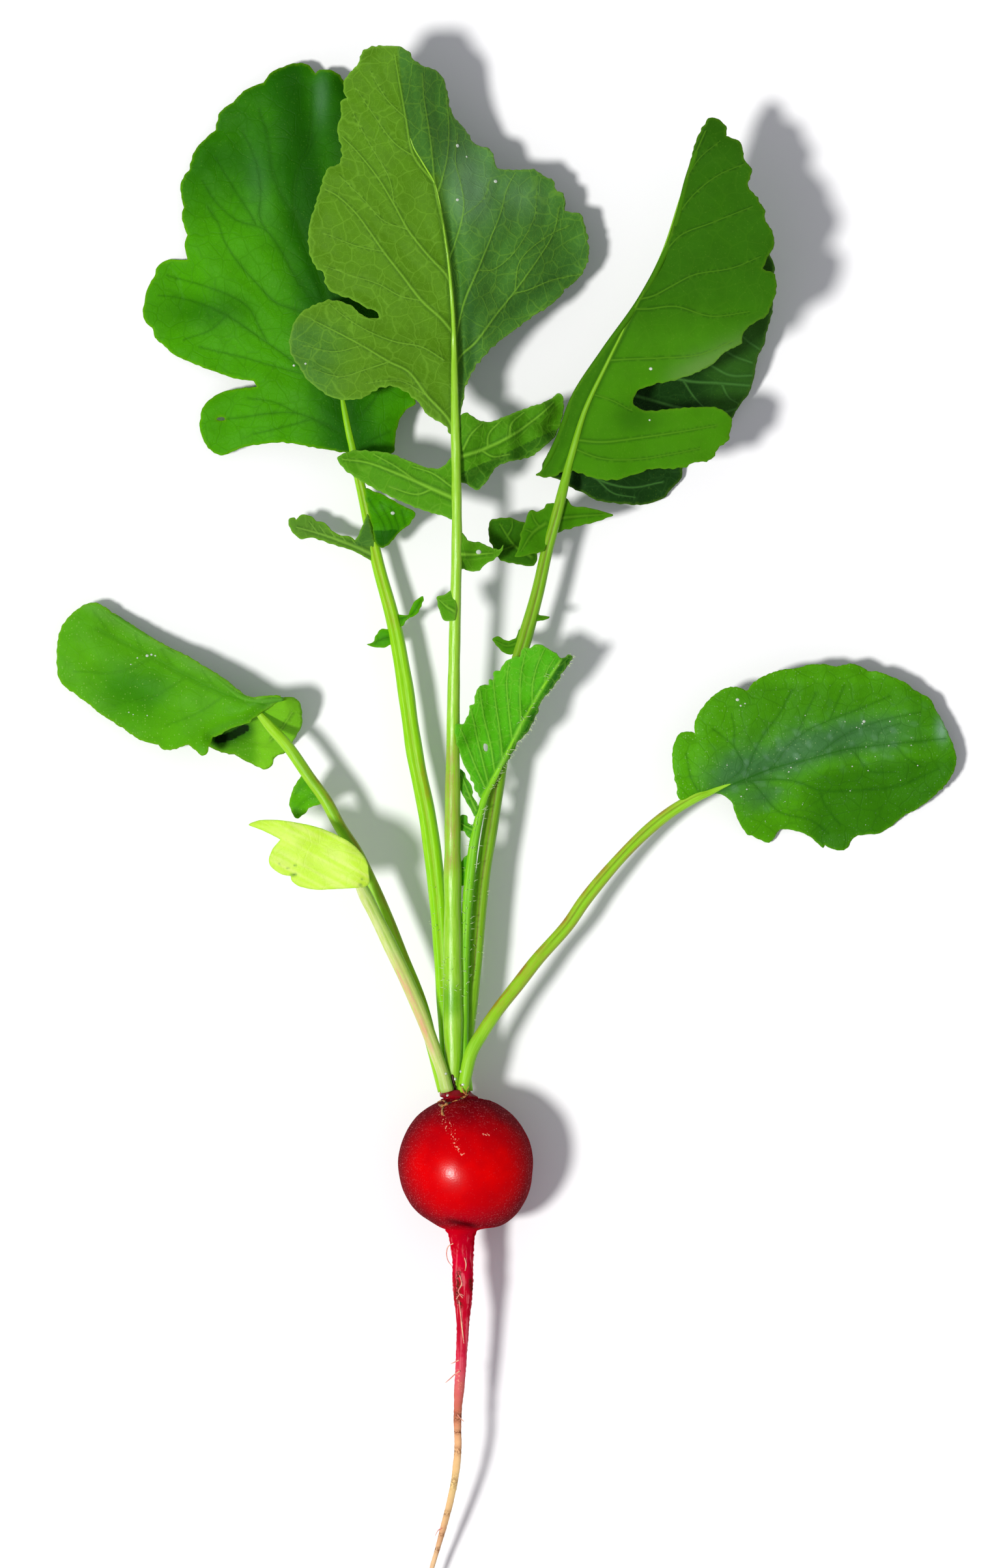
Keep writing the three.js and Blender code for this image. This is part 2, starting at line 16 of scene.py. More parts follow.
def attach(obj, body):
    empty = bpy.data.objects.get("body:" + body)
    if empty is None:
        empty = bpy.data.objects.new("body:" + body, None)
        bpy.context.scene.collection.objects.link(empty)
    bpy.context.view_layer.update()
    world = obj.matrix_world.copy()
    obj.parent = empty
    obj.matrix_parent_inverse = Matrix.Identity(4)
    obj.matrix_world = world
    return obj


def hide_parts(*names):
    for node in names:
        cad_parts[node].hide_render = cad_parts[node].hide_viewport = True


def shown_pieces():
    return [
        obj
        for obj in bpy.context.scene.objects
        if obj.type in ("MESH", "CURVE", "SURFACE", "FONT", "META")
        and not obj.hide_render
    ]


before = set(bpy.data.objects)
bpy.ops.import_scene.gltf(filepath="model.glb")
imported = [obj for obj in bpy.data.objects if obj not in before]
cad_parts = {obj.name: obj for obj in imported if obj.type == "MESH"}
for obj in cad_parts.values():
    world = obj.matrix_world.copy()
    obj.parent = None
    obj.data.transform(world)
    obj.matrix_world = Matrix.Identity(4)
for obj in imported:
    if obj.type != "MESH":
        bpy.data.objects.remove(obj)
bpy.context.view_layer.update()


# ------------------------------------------------------------------ the swollen root
# The bulb and its taproot are one grown piece with a thin red skin. The bulb is nearly a ball, a
# little fuller at its lower right, with a short stub of a crown for the stalks; painted shade
# darkens its sides. The taproot leaves it below a crease, darkened with painted shade, and thins to
# a thread, red at first and then pink and cream.

BULB_RADIUS = 12.45
BULB_CENTRE_Z = 12.33
BULB_SIDES = 96
CROWN_X = -1.9
TAPROOT = [
    (-0.85, -12.25, 12.5, 2.95), (-0.8, -12.8, 12.55, 2.56), (-0.72, -13.6, 12.6, 2.26),
    (-0.65, -15.5, 12.75, 2.06), (-0.5, -19, 12.9, 1.94), (-0.4, -24, 13, 1.78),
    (-0.35, -27.4, 13.1, 1.35), (-0.6, -32, 13.1, 1.08), (-0.9, -36.6, 13.1, 1.0),
    (-1.15, -41, 13, 0.9), (-1.45, -46.8, 12.8, 0.72), (-1.4, -52.5, 12.2, 0.66),
    (-2.0, -58, 11, 0.64), (-2.9, -62.2, 9.8, 0.62), (-4.0, -66.6, 8.5, 0.58),
    (-5.2, -71, 7, 0.47), (-6.6, -76, 5.6, 0.4), (-8.0, -83, 4.0, 0.3), (-8.6, -91.7, 2.8, 0.16),
]


def curve(points, spacing, closed=False, corners=()):
    """Points about `spacing` apart on a smooth curve; it turns sharply at the corners."""
    knots = np.asarray(points, float)
    count = len(knots)
    runs = []
    for i in range(count if closed else count - 1):
        j = (i + 1) % count
        b, c = knots[i], knots[j]
        a = knots[i - 1] if (i or closed) and i not in corners else 2 * b - c
        after = knots[(i + 2) % count]
        d = after if (closed or i + 2 < count) and j not in corners else 2 * c - b
        gaps = [max(np.linalg.norm((q - p)[:3]), 1e-6) ** 0.5 for p, q in ((a, b), (b, c), (c, d))]
        t0, t1, t2, t3 = np.cumsum([0, *gaps])
        steps = max(1, round(np.linalg.norm((c - b)[:3]) / spacing))
        t = np.linspace(t1, t2, steps, endpoint=False)[:, None]
        ab = (t1 - t) / (t1 - t0) * a + (t - t0) / (t1 - t0) * b
        bc = (t2 - t) / (t2 - t1) * b + (t - t1) / (t2 - t1) * c
        cd = (t3 - t) / (t3 - t2) * c + (t - t2) / (t3 - t2) * d
        abc = (t2 - t) / (t2 - t0) * ab + (t - t0) / (t2 - t0) * bc
        bcd = (t3 - t) / (t3 - t1) * bc + (t - t1) / (t3 - t1) * cd
        runs.append((t2 - t) / (t2 - t1) * abc + (t - t1) / (t2 - t1) * bcd)
    if not closed:
        runs.append(knots[-1:])
    return np.concatenate(runs)


def unevenness(points, size, seed):
    """Smooth bumps of about the given size, mostly between -1 and 1."""
    draw = np.random.default_rng(seed)
    total = np.zeros(len(points))
    for _ in range(11):
        way = draw.normal(size=points.shape[1])
        way *= 2 * math.pi / (size * draw.uniform(0.7, 1.5)) / np.linalg.norm(way)
        total += np.sin(points @ way + draw.uniform(0, 2 * math.pi))
    return total / 3.3


def smoothstep(low, high, values):
    """0 below low and 1 above high, with a soft step between."""
    t = np.clip((values - low) / (high - low), 0, 1)
    return t * t * (3 - 2 * t)


def tube(line, radii, sides, ahead=None):
    """Points and faces of a closed tube of rings round a line, and each point's angle."""
    if ahead is None:
        ahead = np.gradient(line, axis=0)
    ahead = ahead / np.linalg.norm(ahead, axis=1)[:, None]
    side = np.cross(ahead, (0, 0, 1))
    side /= np.linalg.norm(side, axis=1)[:, None]
    above = np.cross(side, ahead)
    angle = np.arange(sides) * 2 * math.pi / sides
    reach = radii[:, None] if radii.ndim == 1 else radii
    across = (np.cos(angle) * reach)[..., None] * side[:, None]
    upward = (np.sin(angle) * reach)[..., None] * above[:, None]
    points = (line[:, None] + across + upward).reshape(-1, 3)
    faces = []
    for i in range(len(line) - 1):
        for j in range(sides):
            k = (j + 1) % sides
            faces.append((i * sides + j, (i + 1) * sides + j, (i + 1) * sides + k, i * sides + k))
    first, last = len(points), len(points) + 1
    end = (len(line) - 1) * sides
    for j in range(sides):
        k = (j + 1) % sides
        faces += [(j, k, first), (end + k, end + j, last)]
    points = np.concatenate([points, line[:1], line[-1:]])
    return points, faces, np.concatenate([np.tile(angle, len(line)), [0, 0]])


def piece(name, points, faces, material, nodes=(), masks=None):
    """A smooth mesh of the radish, in metres, with one value a point for each mask."""
    mesh = bpy.data.meshes.new(name)
    mesh.from_pydata((np.asarray(points) * 0.001).tolist(), [], [tuple(f) for f in faces])
    for mask, values in (masks or {}).items():
        held = mesh.attributes.new(mask, "FLOAT", "POINT")
        held.data.foreach_set("value", np.asarray(values, np.float32))
    mesh.shade_smooth()
    mesh.materials.append(material)
    made = bpy.data.objects.new(name, mesh)
    bpy.context.scene.collection.objects.link(made)
    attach(made, "root")
    if nodes:
        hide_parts(*nodes)
    return made


def colour(red, green, blue):
    """A shader colour from the usual 0 to 255 display values."""
    shares = (v / 255 for v in (red, green, blue))
    return (*(v / 12.92 if v <= 0.04045 else ((v + 0.055) / 1.055) ** 2.4 for v in shares), 1.0)


def node(tree, kind, inputs=None, **settings):
    """A shader node. An input that is a socket is linked, and any other is set."""
    made = tree.nodes.new("ShaderNode" + kind)
    for key, value in settings.items():
        setattr(made, key, value)
    for key, value in (inputs or {}).items():
        if isinstance(value, bpy.types.NodeSocket):
            tree.links.new(value, made.inputs[key])
        else:
            made.inputs[key].default_value = value
    return made


def blend(tree, factor, a, b, mode="MIX"):
    """The colour socket of a mix from a to b."""
    mix = node(tree, "Mix", {0: factor, 6: a, 7: b}, data_type="RGBA", blend_type=mode)
    return mix.outputs[2]


def sums(tree, kind, a, b=0.0, c=0.0):
    """The value socket of a Math node."""
    return node(tree, "Math", {0: a, 1: b, 2: c}, operation=kind).outputs[0]


def span(tree, value, low, high, out_low=0.0, out_high=1.0):
    """A value mapped from one range to another, held at the ends."""
    sockets = {0: value, 1: low, 2: high, 3: out_low, 4: out_high}
    return node(tree, "MapRange", sockets, interpolation_type="SMOOTHSTEP").outputs[0]


def mask_of(tree, name):
    """The value socket of a mask held on the mesh."""
    return node(tree, "Attribute", attribute_name=name).outputs["Fac"]


def shader_group(name, inputs, outputs):
    """A new shader node group with its named inputs and outputs."""
    group = bpy.data.node_groups.new(name, "ShaderNodeTree")
    for label, kind, value in inputs:
        made = group.interface.new_socket(label, in_out="INPUT", socket_type=kind)
        made.default_value = value
    for label, kind in outputs:
        group.interface.new_socket(label, in_out="OUTPUT", socket_type=kind)
    return group, group.nodes.new("NodeGroupInput").outputs, group.nodes.new("NodeGroupOutput")


def place(tree, group, inputs):
    """A shader node group placed in a material with its own values."""
    return node(tree, "Group", inputs, node_tree=group)


FLOAT, TINT = "NodeSocketFloat", "NodeSocketColor"

# Plant skin everywhere on the radish: soft patches of a second colour and fine pale flecks.
mottle, given, result = shader_group(
    "mottle",
    [("Main", TINT, (0.5, 0.5, 0.5, 1)), ("Patch", TINT, (0.4, 0.4, 0.4, 1)),
     ("Patch size mm", FLOAT, 6.0), ("Patch amount", FLOAT, 0.5),
     ("Fleck", TINT, (0.8, 0.8, 0.8, 1)), ("Fleck size mm", FLOAT, 0.5),
     ("Fleck amount", FLOAT, 0.2)],
    [("Color", TINT), ("Height", FLOAT)],
)
position = node(mottle, "TexCoord").outputs["Object"]
patch_scale = sums(mottle, "DIVIDE", 1000.0, given["Patch size mm"])
patches = node(mottle, "TexNoise", {"Vector": position, "Scale": patch_scale, "Detail": 4.0,
                                    "Roughness": 0.62})
patch_mask = sums(mottle, "MULTIPLY", span(mottle, patches.outputs[0], 0.38, 0.66),
                  given["Patch amount"])
fleck_scale = sums(mottle, "DIVIDE", 1000.0, given["Fleck size mm"])
flecks = node(mottle, "TexVoronoi", {"Vector": position, "Scale": fleck_scale,
                                     "Randomness": 1.0})
fleck_here = node(mottle, "SeparateColor", {0: flecks.outputs["Color"]}).outputs[0]
fleck_kept = span(mottle, fleck_here, 0.72, 0.78)
fleck_core = span(mottle, flecks.outputs["Distance"], 0.16, 0.34, 1.0, 0.0)
fleck_mask = sums(mottle, "MULTIPLY", sums(mottle, "MULTIPLY", fleck_kept, fleck_core),
                  given["Fleck amount"])
mottled = blend(mottle, patch_mask, given["Main"], given["Patch"])
mottle.links.new(blend(mottle, fleck_mask, mottled, given["Fleck"]), result.inputs["Color"])
patch_height = sums(mottle, "MULTIPLY", patches.outputs[0], 0.5)
mottle.links.new(sums(mottle, "ADD", patch_height, fleck_mask), result.inputs["Height"])


def new_material(name):
    """A material with its tree, Principled shader and output, and no other node."""
    made = bpy.data.materials.new(name)
    made.use_nodes = True
    tree = made.node_tree
    tree.nodes.clear()
    shader = tree.nodes.new("ShaderNodeBsdfPrincipled")
    output = tree.nodes.new("ShaderNodeOutputMaterial")
    tree.links.new(shader.outputs[0], output.inputs["Surface"])
    return made, tree, shader, output


skin, tree, shader, _ = new_material("radish_skin")
place_of = node(tree, "TexCoord").outputs["Object"]
axes = node(tree, "SeparateXYZ", {0: place_of})
wander = node(tree, "TexNoise", {"Vector": place_of, "Scale": 260.0, "Detail": 3.0})
down = sums(tree, "ADD", sums(tree, "MULTIPLY", axes.outputs[1], 1000.0),
            sums(tree, "MULTIPLY", sums(tree, "SUBTRACT", wander.outputs[0], 0.5), 9.0))
along_root = node(tree, "MapRange", {0: down, 1: 16.0, 2: -80.0, 3: 0.0, 4: 1.0}).outputs[0]
ramp = node(tree, "ValToRGB", {0: along_root})
stops = [
    (0.0, (112, 6, 22)), (0.03, (118, 4, 20)), (0.055, (140, 1, 14)), (0.1, (186, 0, 8)),
    (0.18, (224, 0, 2)), (0.24, (204, 0, 6)), (0.3, (186, 2, 26)), (0.34, (206, 4, 44)),
    (0.46, (190, 10, 40)), (0.53, (210, 40, 70)), (0.58, (222, 96, 106)),
    (0.63, (214, 128, 100)), (0.68, (232, 176, 130)), (0.78, (238, 206, 140)),
    (0.87, (226, 180, 132)), (1.0, (232, 204, 160)),
]
ramp.color_ramp.elements[0].position = stops[0][0]
ramp.color_ramp.elements[0].color = colour(*stops[0][1])
ramp.color_ramp.elements[1].position = stops[-1][0]
ramp.color_ramp.elements[1].color = colour(*stops[-1][1])
for where, tint in stops[1:-1]:
    ramp.color_ramp.elements.new(where).color = colour(*tint)
# The flank mask paints shade on the bulb's sides and raises pink flecks and stipple there, partly
# lenticels and partly a painted reflection haze.
flank_shaded = blend(tree, mask_of(tree, "flank_shade_and_haze"), ramp.outputs[0], colour(88, 0, 14))
flecked = place(tree, mottle, {
    "Main": flank_shaded, "Patch": colour(150, 0, 14), "Patch size mm": 7.0, "Patch amount": 0.24,
    "Fleck": colour(226, 110, 116), "Fleck size mm": 0.34,
    "Fleck amount": sums(tree, "ADD", 0.06, sums(tree, "MULTIPLY", mask_of(tree, "flank_shade_and_haze"), 0.34)),
})
stipple = node(tree, "TexNoise", {"Vector": place_of, "Scale": 3000.0, "Detail": 2.0})
stipple_mask = sums(tree, "MULTIPLY", span(tree, stipple.outputs[0], 0.58, 0.7),
                    sums(tree, "MULTIPLY", mask_of(tree, "flank_shade_and_haze"), 0.5))
stippled = blend(tree, stipple_mask, flecked.outputs[0], colour(220, 116, 122))
streaks = node(tree, "TexNoise", {
    "Vector": node(tree, "Mapping", {"Vector": place_of, "Scale": (1, 0.12, 1)}).outputs[0],
    "Scale": 1500.0, "Detail": 3.0,
})
streak_mask = sums(tree, "MULTIPLY", span(tree, streaks.outputs[0], 0.5, 0.68),
                   mask_of(tree, "streaked"))
streaked = blend(tree, streak_mask, stippled, colour(240, 128, 138))
scar_noise = node(tree, "TexNoise", {"Vector": place_of, "Scale": 2600.0, "Detail": 3.0,
                                     "Roughness": 0.6})
scar_edge = sums(tree, "ADD", scar_noise.outputs[0],
                 sums(tree, "MULTIPLY", mask_of(tree, "scar"), 0.24))
scar_mask = span(tree, scar_edge, 0.79, 0.83)
scarred = blend(tree, scar_mask, streaked, colour(240, 170, 140))
bruise_mask = sums(tree, "MULTIPLY", mask_of(tree, "bruise"),
                   span(tree, scar_noise.outputs[0], 0.36, 0.56))
bruised = blend(tree, bruise_mask, scarred, colour(92, 34, 20))
# Painted shade in the crease above the taproot.
crease_shaded = blend(tree, mask_of(tree, "crease_and_shade"), bruised, colour(64, 0, 6))
grain = node(tree, "TexNoise", {"Vector": place_of, "Scale": 2600.0, "Detail": 3.0})
height = sums(tree, "ADD", sums(tree, "MULTIPLY", flecked.outputs["Height"], 0.6),
              sums(tree, "MULTIPLY", grain.outputs[0], 0.5))
bump = node(tree, "Bump", {"Strength": 0.4, "Distance": 0.00012, "Height": height})
rough = span(tree, sums(tree, "ADD", grain.outputs[0], mask_of(tree, "dull")),
             0.35, 1.4, 0.42, 0.7)
for key, value in {"Base Color": crease_shaded, "Roughness": rough, "Normal": bump.outputs[0],
                   "Coat Weight": mask_of(tree, "polish"), "Coat Normal": bump.outputs[0]}.items():
    tree.links.new(value, shader.inputs[key])
shader.inputs["Specular IOR Level"].default_value = 0.0
shader.inputs["Coat Roughness"].default_value = 0.29

taproot_line = curve(TAPROOT, 0.3)
turns = np.radians(np.linspace(75.5, -75, 122))
bulb_y = BULB_RADIUS * np.sin(turns)
bulb_r = BULB_RADIUS * np.cos(turns)
stub_y = np.array([13.5, 13.62, 13.64, 13.54, 13.3, 13.0, 12.66, 12.34])
stub_r = np.array([0.4, 1.2, 1.95, 2.4, 2.58, 2.72, 2.96, 3.34])
ring_y = np.concatenate([stub_y, bulb_y])
towards_root = smoothstep(-10.0, -12.2, ring_y)
ring_x = (CROWN_X + 0.2) * smoothstep(11.3, 12.8, ring_y) - 0.55 * towards_root
ring_z = BULB_CENTRE_Z + 0.15 * towards_root
line = np.concatenate([np.stack([ring_x, ring_y, ring_z], 1), taproot_line[:, :3]])
radii = np.concatenate([stub_r, bulb_r, taproot_line[:, 3]])
ahead = np.gradient(line, axis=0)
ahead[: len(ring_y) + 8] = (0, -1, 0)
points, faces, angles = tube(line, radii, BULB_SIDES, ahead)

bulb_centre = np.array([0, 0, BULB_CENTRE_Z])
on_bulb = smoothstep(-12.3, -10.7, points[:, 1]) * smoothstep(12.6, 11.4, points[:, 1])
outward = points - bulb_centre
outward /= np.maximum(np.linalg.norm(outward, axis=1), 1e-6)[:, None]
full = np.exp(-((np.arccos(np.clip(outward @ (0.63, -0.777, 0), -1, 1)) / 0.52) ** 2))
flat = np.exp(-((np.arccos(np.clip(outward @ (-0.36, -0.93, 0), -1, 1)) / 0.3) ** 2))
lumps = unevenness(points, 11, 3) * 0.1 + unevenness(points, 3.2, 4) * 0.02
points += outward * ((0.62 * full - 0.3 * flat + lumps) * on_bulb)[:, None]
on_top = smoothstep(0.0, 0.6, outward[:, 2] * 2)
# The crease above the taproot: a small dip, with a mask that paints shade into it.
crease_line = -10.85 - 0.2 * (points[:, 0] + 0.5)
crease_and_shade = np.exp(-(((points[:, 1] - crease_line) / 0.6) ** 2) - ((points[:, 0] + 0.6) / 2.9) ** 4)
crease_and_shade *= on_top * (points[:, 2] > BULB_CENTRE_Z + 2)
points[:, 2] -= 0.2 * crease_and_shade
below_neck = smoothstep(-11.8, -13.2, points[:, 1])
spine = np.concatenate([np.repeat(line, BULB_SIDES, axis=0), line[:1], line[-1:]])
radial = points - spine
wrinkles = unevenness(points * (1, 2.2, 1), 1.6, 5) * 0.035 + unevenness(points, 4, 6) * 0.05
wrinkles += 0.05 * np.cos(3 * angles + 0.25 * points[:, 1])
points += radial * (wrinkles * below_neck)[:, None]
crown = smoothstep(11.2, 12.2, points[:, 1])
points += radial * (unevenness(points, 1.5, 7) * 0.08 * crown)[:, None]
points[:, 1] += 0.14 * unevenness(points, 1.2, 9) * smoothstep(12.4, 13.0, points[:, 1])
points[:, 2] = np.maximum(points[:, 2], 0)


def distance_to(polyline, places):
    """Distance in plan from each place to a line, and how far along the line that is, 0 to 1."""
    best = np.full(len(places), np.inf)
    share = np.zeros(len(places))
    pieces_of = np.diff(polyline[:, :2], axis=0)
    lengths = np.linalg.norm(pieces_of, axis=1)
    run = np.concatenate([[0], np.cumsum(lengths)]) / max(lengths.sum(), 1e-9)
    for i, (step, length) in enumerate(zip(pieces_of, lengths)):
        away = places[:, :2] - polyline[i, :2]
        t = np.clip(away @ step / max(length**2, 1e-12), 0, 1)
        gap = np.linalg.norm(away - t[:, None] * step, axis=1)
        nearer = gap < best
        best = np.where(nearer, gap, best)
        share = np.where(nearer, run[i] + t * (run[i + 1] - run[i]), share)
    return best, share


def near(polyline, places, width):
    """1 on a line and 0 well away from it."""
    return np.exp(-((distance_to(np.asarray(polyline, float), places)[0] / width) ** 2))


upper = points[:, 2] > BULB_CENTRE_Z
scar = 0.84 * near([(-4.4, 9.6), (-3.6, 8), (-2.6, 6), (-1.9, 4.2), (-1.2, 2.4)], points, 1.4)
scar = np.maximum(scar, near([(-2.7, 6), (-2.1, 4.6), (-1.6, 3.2)], points, 0.62))
scar = np.maximum(scar, 1.1 * near([(-1.7, 2.9), (-1.2, 2.1), (-0.6, 1.9)], points, 0.45))
scar = np.maximum(scar, 1.3 * near([(3.1, 5.7), (4.2, 5.5), (4.6, 5.1)], points, 0.3))
scar = np.maximum(scar, 1.5 * near([(5.5, 6.4), (5.9, 6.5)], points, 0.2))
scar = np.maximum(scar, 0.7 * near([(-5.2, -7.6), (-5, -7.8)], points, 0.3))
scar = np.where(upper, scar, 0.35 * (unevenness(points, 6, 8) > 0.9))
scar = np.maximum(scar, near([(-1.5, -38), (-1, -41.5)], points, 0.7))
bruise = near([(-1.3, -20), (-1.6, -24.6), (-1, -26)], points, 0.6) * upper
bruise = np.maximum(bruise, near([(0.9, -21.5), (1.2, -23)], points, 0.45) * upper)
for y, width, strength in ((-46.5, 1.0, 0.75), (-49.3, 0.35, 1), (-52.7, 0.7, 0.6),
                           (-58.5, 1.3, 0.55), (-64.3, 0.5, 0.6), (-68.3, 0.4, 0.6),
                           (-71, 0.5, 0.7), (-78, 1, 0.5), (-86, 1.4, 0.6)):
    at = np.exp(-(((points[:, 1] - y) / width) ** 2))
    bruise = np.maximum(bruise, strength * at)
# Painted shade on the bulb's sides, where they turn from the top, and towards the crown.
flank_shade_and_haze = smoothstep(0.86, 0.2, outward[:, 2]) * on_bulb * 0.9
flank_shade_and_haze = np.maximum(flank_shade_and_haze, 0.6 * smoothstep(5, 11, points[:, 1]) * on_bulb)
lit_x, lit_y = points[:, 0] + 2.5, points[:, 1] + 2.5
polish = np.exp(-(((lit_x - lit_y) / 3.4) ** 2) - ((lit_x + lit_y) / 2.7) ** 2)
polish = (0.05 + 0.85 * polish * (points[:, 2] > BULB_CENTRE_Z)) * on_bulb
polish = np.maximum(polish, 0.6 * smoothstep(12.2, 12.8, points[:, 1]))
streaked_part = smoothstep(-12.5, -14.5, points[:, 1]) * smoothstep(-44, -36, points[:, 1])
dull = 0.5 * smoothstep(-12, -16, points[:, 1])
piece("swollen_root", points, faces, skin, ["swollen_root"],
      {"scar": scar, "bruise": bruise, "flank_shade_and_haze": flank_shade_and_haze, "streaked": streaked_part * 0.45,
       "crease_and_shade": crease_and_shade * 0.85, "dull": dull, "polish": polish})
root_tree = BVHTree.FromPolygons([Vector(p) for p in points.tolist()], faces)


# ------------------------------------------------------------------ crown scars and rootlets
# Old leaf bases leave a ragged papery rim round the crown, tan where it has dried. Dark brown
# pieces among and under the stalk bases are painted shade. Fine side roots grow from the taproot
# and lie along it.

ROOTLETS = [
    [(-2.3, -14.6, 0.11), (-3.2, -15.2, 0.1), (-3.5, -16.5, 0.09), (-3.2, -17.8, 0.08),
     (-2.5, -18.8, 0.05)],
    [(-1.1, -20.4, 0.1), (-0.7, -22, 0.12), (-1.3, -23.4, 0.12), (-0.5, -24.6, 0.1)],
    [(-1.7, -24.8, 0.09), (-1, -23.9, 0.12), (-0.3, -24.2, 0.08)],
    [(-1.2, -25, 0.12), (-0.9, -27.6, 0.13), (-0.6, -30.4, 0.12), (-0.3, -33, 0.06)],
    [(-1, -38, 0.14), (-1.9, -38.6, 0.12), (-2.9, -39.5, 0.1), (-3.7, -40.2, 0.05)],
    [(-1.2, -36, 0.12), (-2, -36.4, 0.1), (-2.7, -36.7, 0.05)],
    [(-0.2, -17.2, 0.09), (0.1, -18.4, 0.1), (-0.1, -19.6, 0.06)],
    [(-1.5, -46, 0.12), (-0.8, -46.9, 0.1), (-0.3, -47.3, 0.05)],
    [(-4.3, -67, 0.1), (-5, -67.4, 0.08), (-5.6, -68.4, 0.04)],
]
RIM = [
    (-4.9, 10.9, 0.12), (-4.4, 10.65, 0.26), (-3.8, 10.8, 0.36), (-3.2, 11.1, 0.3),
    (-2.6, 11.4, 0.15), (-1.8, 11.65, 0.13), (-1.1, 11.85, 0.16), (-0.5, 12.2, 0.2),
    (0.1, 12.5, 0.22), (0.5, 12.8, 0.12),
]
STRANDS = [
    [(-4.0, 10.6, 0.16), (-4.3, 9.9, 0.14), (-4.2, 9.2, 0.2), (-4.0, 8.9, 0.08)],
    [(-3.4, 11.2, 0.14), (-4.1, 11.6, 0.12), (-4.8, 11.5, 0.16), (-5.2, 11.2, 0.07)],
]

dry_and_shade, tree, shader, _ = new_material("scar_tissue_and_shade")
place_of = node(tree, "TexCoord").outputs["Object"]
papery = place(tree, mottle, {
    "Main": colour(204, 142, 70), "Patch": colour(120, 40, 20), "Patch size mm": 1.1,
    "Patch amount": 0.85, "Fleck": colour(240, 210, 150), "Fleck size mm": 0.3,
    "Fleck amount": 0.6,
})
# Brown where the mask is high: dry patches on the rim, and painted shade on the dark pieces among
# the stalk bases.
aged_and_shaded = blend(tree, mask_of(tree, "age_and_shade"), papery.outputs[0], colour(58, 16, 10))
bump = node(tree, "Bump", {"Strength": 0.5, "Distance": 0.0002, "Height": papery.outputs[1]})
for key, value in {"Base Color": aged_and_shaded, "Normal": bump.outputs[0]}.items():
    tree.links.new(value, shader.inputs[key])
tree.links.new(span(tree, papery.outputs[1], 0.1, 0.9, 0.62, 0.4), shader.inputs["Roughness"])

thread, tree, shader, _ = new_material("rootlet")
pale = place(tree, mottle, {
    "Main": colour(238, 190, 150), "Patch": colour(206, 70, 84), "Patch size mm": 2.0,
    "Patch amount": 0.8, "Fleck": colour(250, 236, 214), "Fleck size mm": 0.3,
    "Fleck amount": 0.5,
})
tree.links.new(pale.outputs[0], shader.inputs["Base Color"])
tree.links.new(span(tree, pale.outputs[1], 0.1, 0.9, 0.6, 0.45), shader.inputs["Roughness"])


def join(parts):
    """Several sets of points, faces and masks as one."""
    points, faces, masks, start = [], [], {}, 0
    for part_points, part_faces, part_masks in parts:
        points.append(part_points)
        faces += [tuple(start + v for v in face) for face in part_faces]
        for key, values in part_masks.items():
            masks.setdefault(key, []).append(values)
        start += len(part_points)
    return np.concatenate(points), faces, {k: np.concatenate(v) for k, v in masks.items()}


def lying_on_root(route, spacing, lift):
    """A route [x, y, radius] laid on the upper side of the root."""
    places = curve(route, spacing)
    laid = []
    last = None
    for x, y, radius in places:
        hit = root_tree.ray_cast(Vector((x, y, 60)), Vector((0, 0, -1)))[0]
        if hit is not None:
            last = hit.z + lift * radius
        laid.append((x, y, last if last is not None else 12.5))
    laid = np.array(laid)
    if len(laid) > 4:
        laid[1:-1, 2] = (laid[:-2, 2] + laid[1:-1, 2] + laid[2:, 2]) / 3
    return laid, places[:, 2]


threads = []
for route in ROOTLETS:
    laid, radii = lying_on_root(route, 0.25, 0.7)
    made, faces, _ = tube(laid, radii, 7)
    threads.append((made, faces, {}))
points, faces, _ = join(threads)
piece("rootlets", points, faces, thread)

rims = []
for number, route in enumerate([RIM, *STRANDS]):
    laid, radii = lying_on_root(route, 0.16, 0.15)
    ragged = 1 + 0.35 * unevenness(laid, 0.8, 20 + number)
    made, faces, _ = tube(laid, radii * ragged, 12)
    made += unevenness(made, 0.5, 30 + number)[:, None] * np.array([0.07, 0.07, 0.06])
    rims.append((made, faces, {"age_and_shade": 0.25 + 0.5 * unevenness(made, 1.5, 36 + number)}))
# Two tan strips of dry skin, then five dark brown pieces in the gaps among and under the stalk
# bases: painted shade.
for route, thick, age_and_shade in (
    ([(0.3, 12.6, 14.6), (-0.3, 13.2, 15.3), (-0.7, 14, 15.6), (-1.1, 14.7, 15.4)], 0.17, 0.0),
    ([(0.1, 12.8, 14.9), (0.2, 13.6, 15.5), (0.6, 14.3, 15.7)], 0.1, 0.0),
    ([(-2, 13.2, 13.2), (-2.2, 15, 13.8), (-2.5, 16.6, 13.7), (-2.8, 17.6, 13.0)], 0.5, 1.0),
    ([(-2.9, 13.2, 13.0), (-2.8, 15, 13.4), (-2.6, 16.2, 13.0)], 0.4, 0.9),
    ([(-4.4, 12.6, 10.6), (-4.6, 13.8, 10.4), (-4.5, 15, 10.0)], 0.3, 0.4),
    ([(-0.4, 12.6, 9.4), (-0.3, 14, 8.8), (0.1, 15, 8.6)], 0.3, 0.4),
    ([(-2.4, 12.6, 9.0), (-2.4, 14, 8.4), (-2.6, 15.2, 8.2)], 0.28, 0.6),
):
    line = curve(route, 0.15)
    taper = np.interp(np.arange(len(line)), (0, len(line) - 1), (thick, thick * 0.3))
    made, faces, _ = tube(line, taper * (1 + 0.3 * unevenness(line, 0.7, len(rims))), 10)
    rims.append((made, faces, {"age_and_shade": np.full(len(made), age_and_shade)}))
points, faces, masks = join(rims)
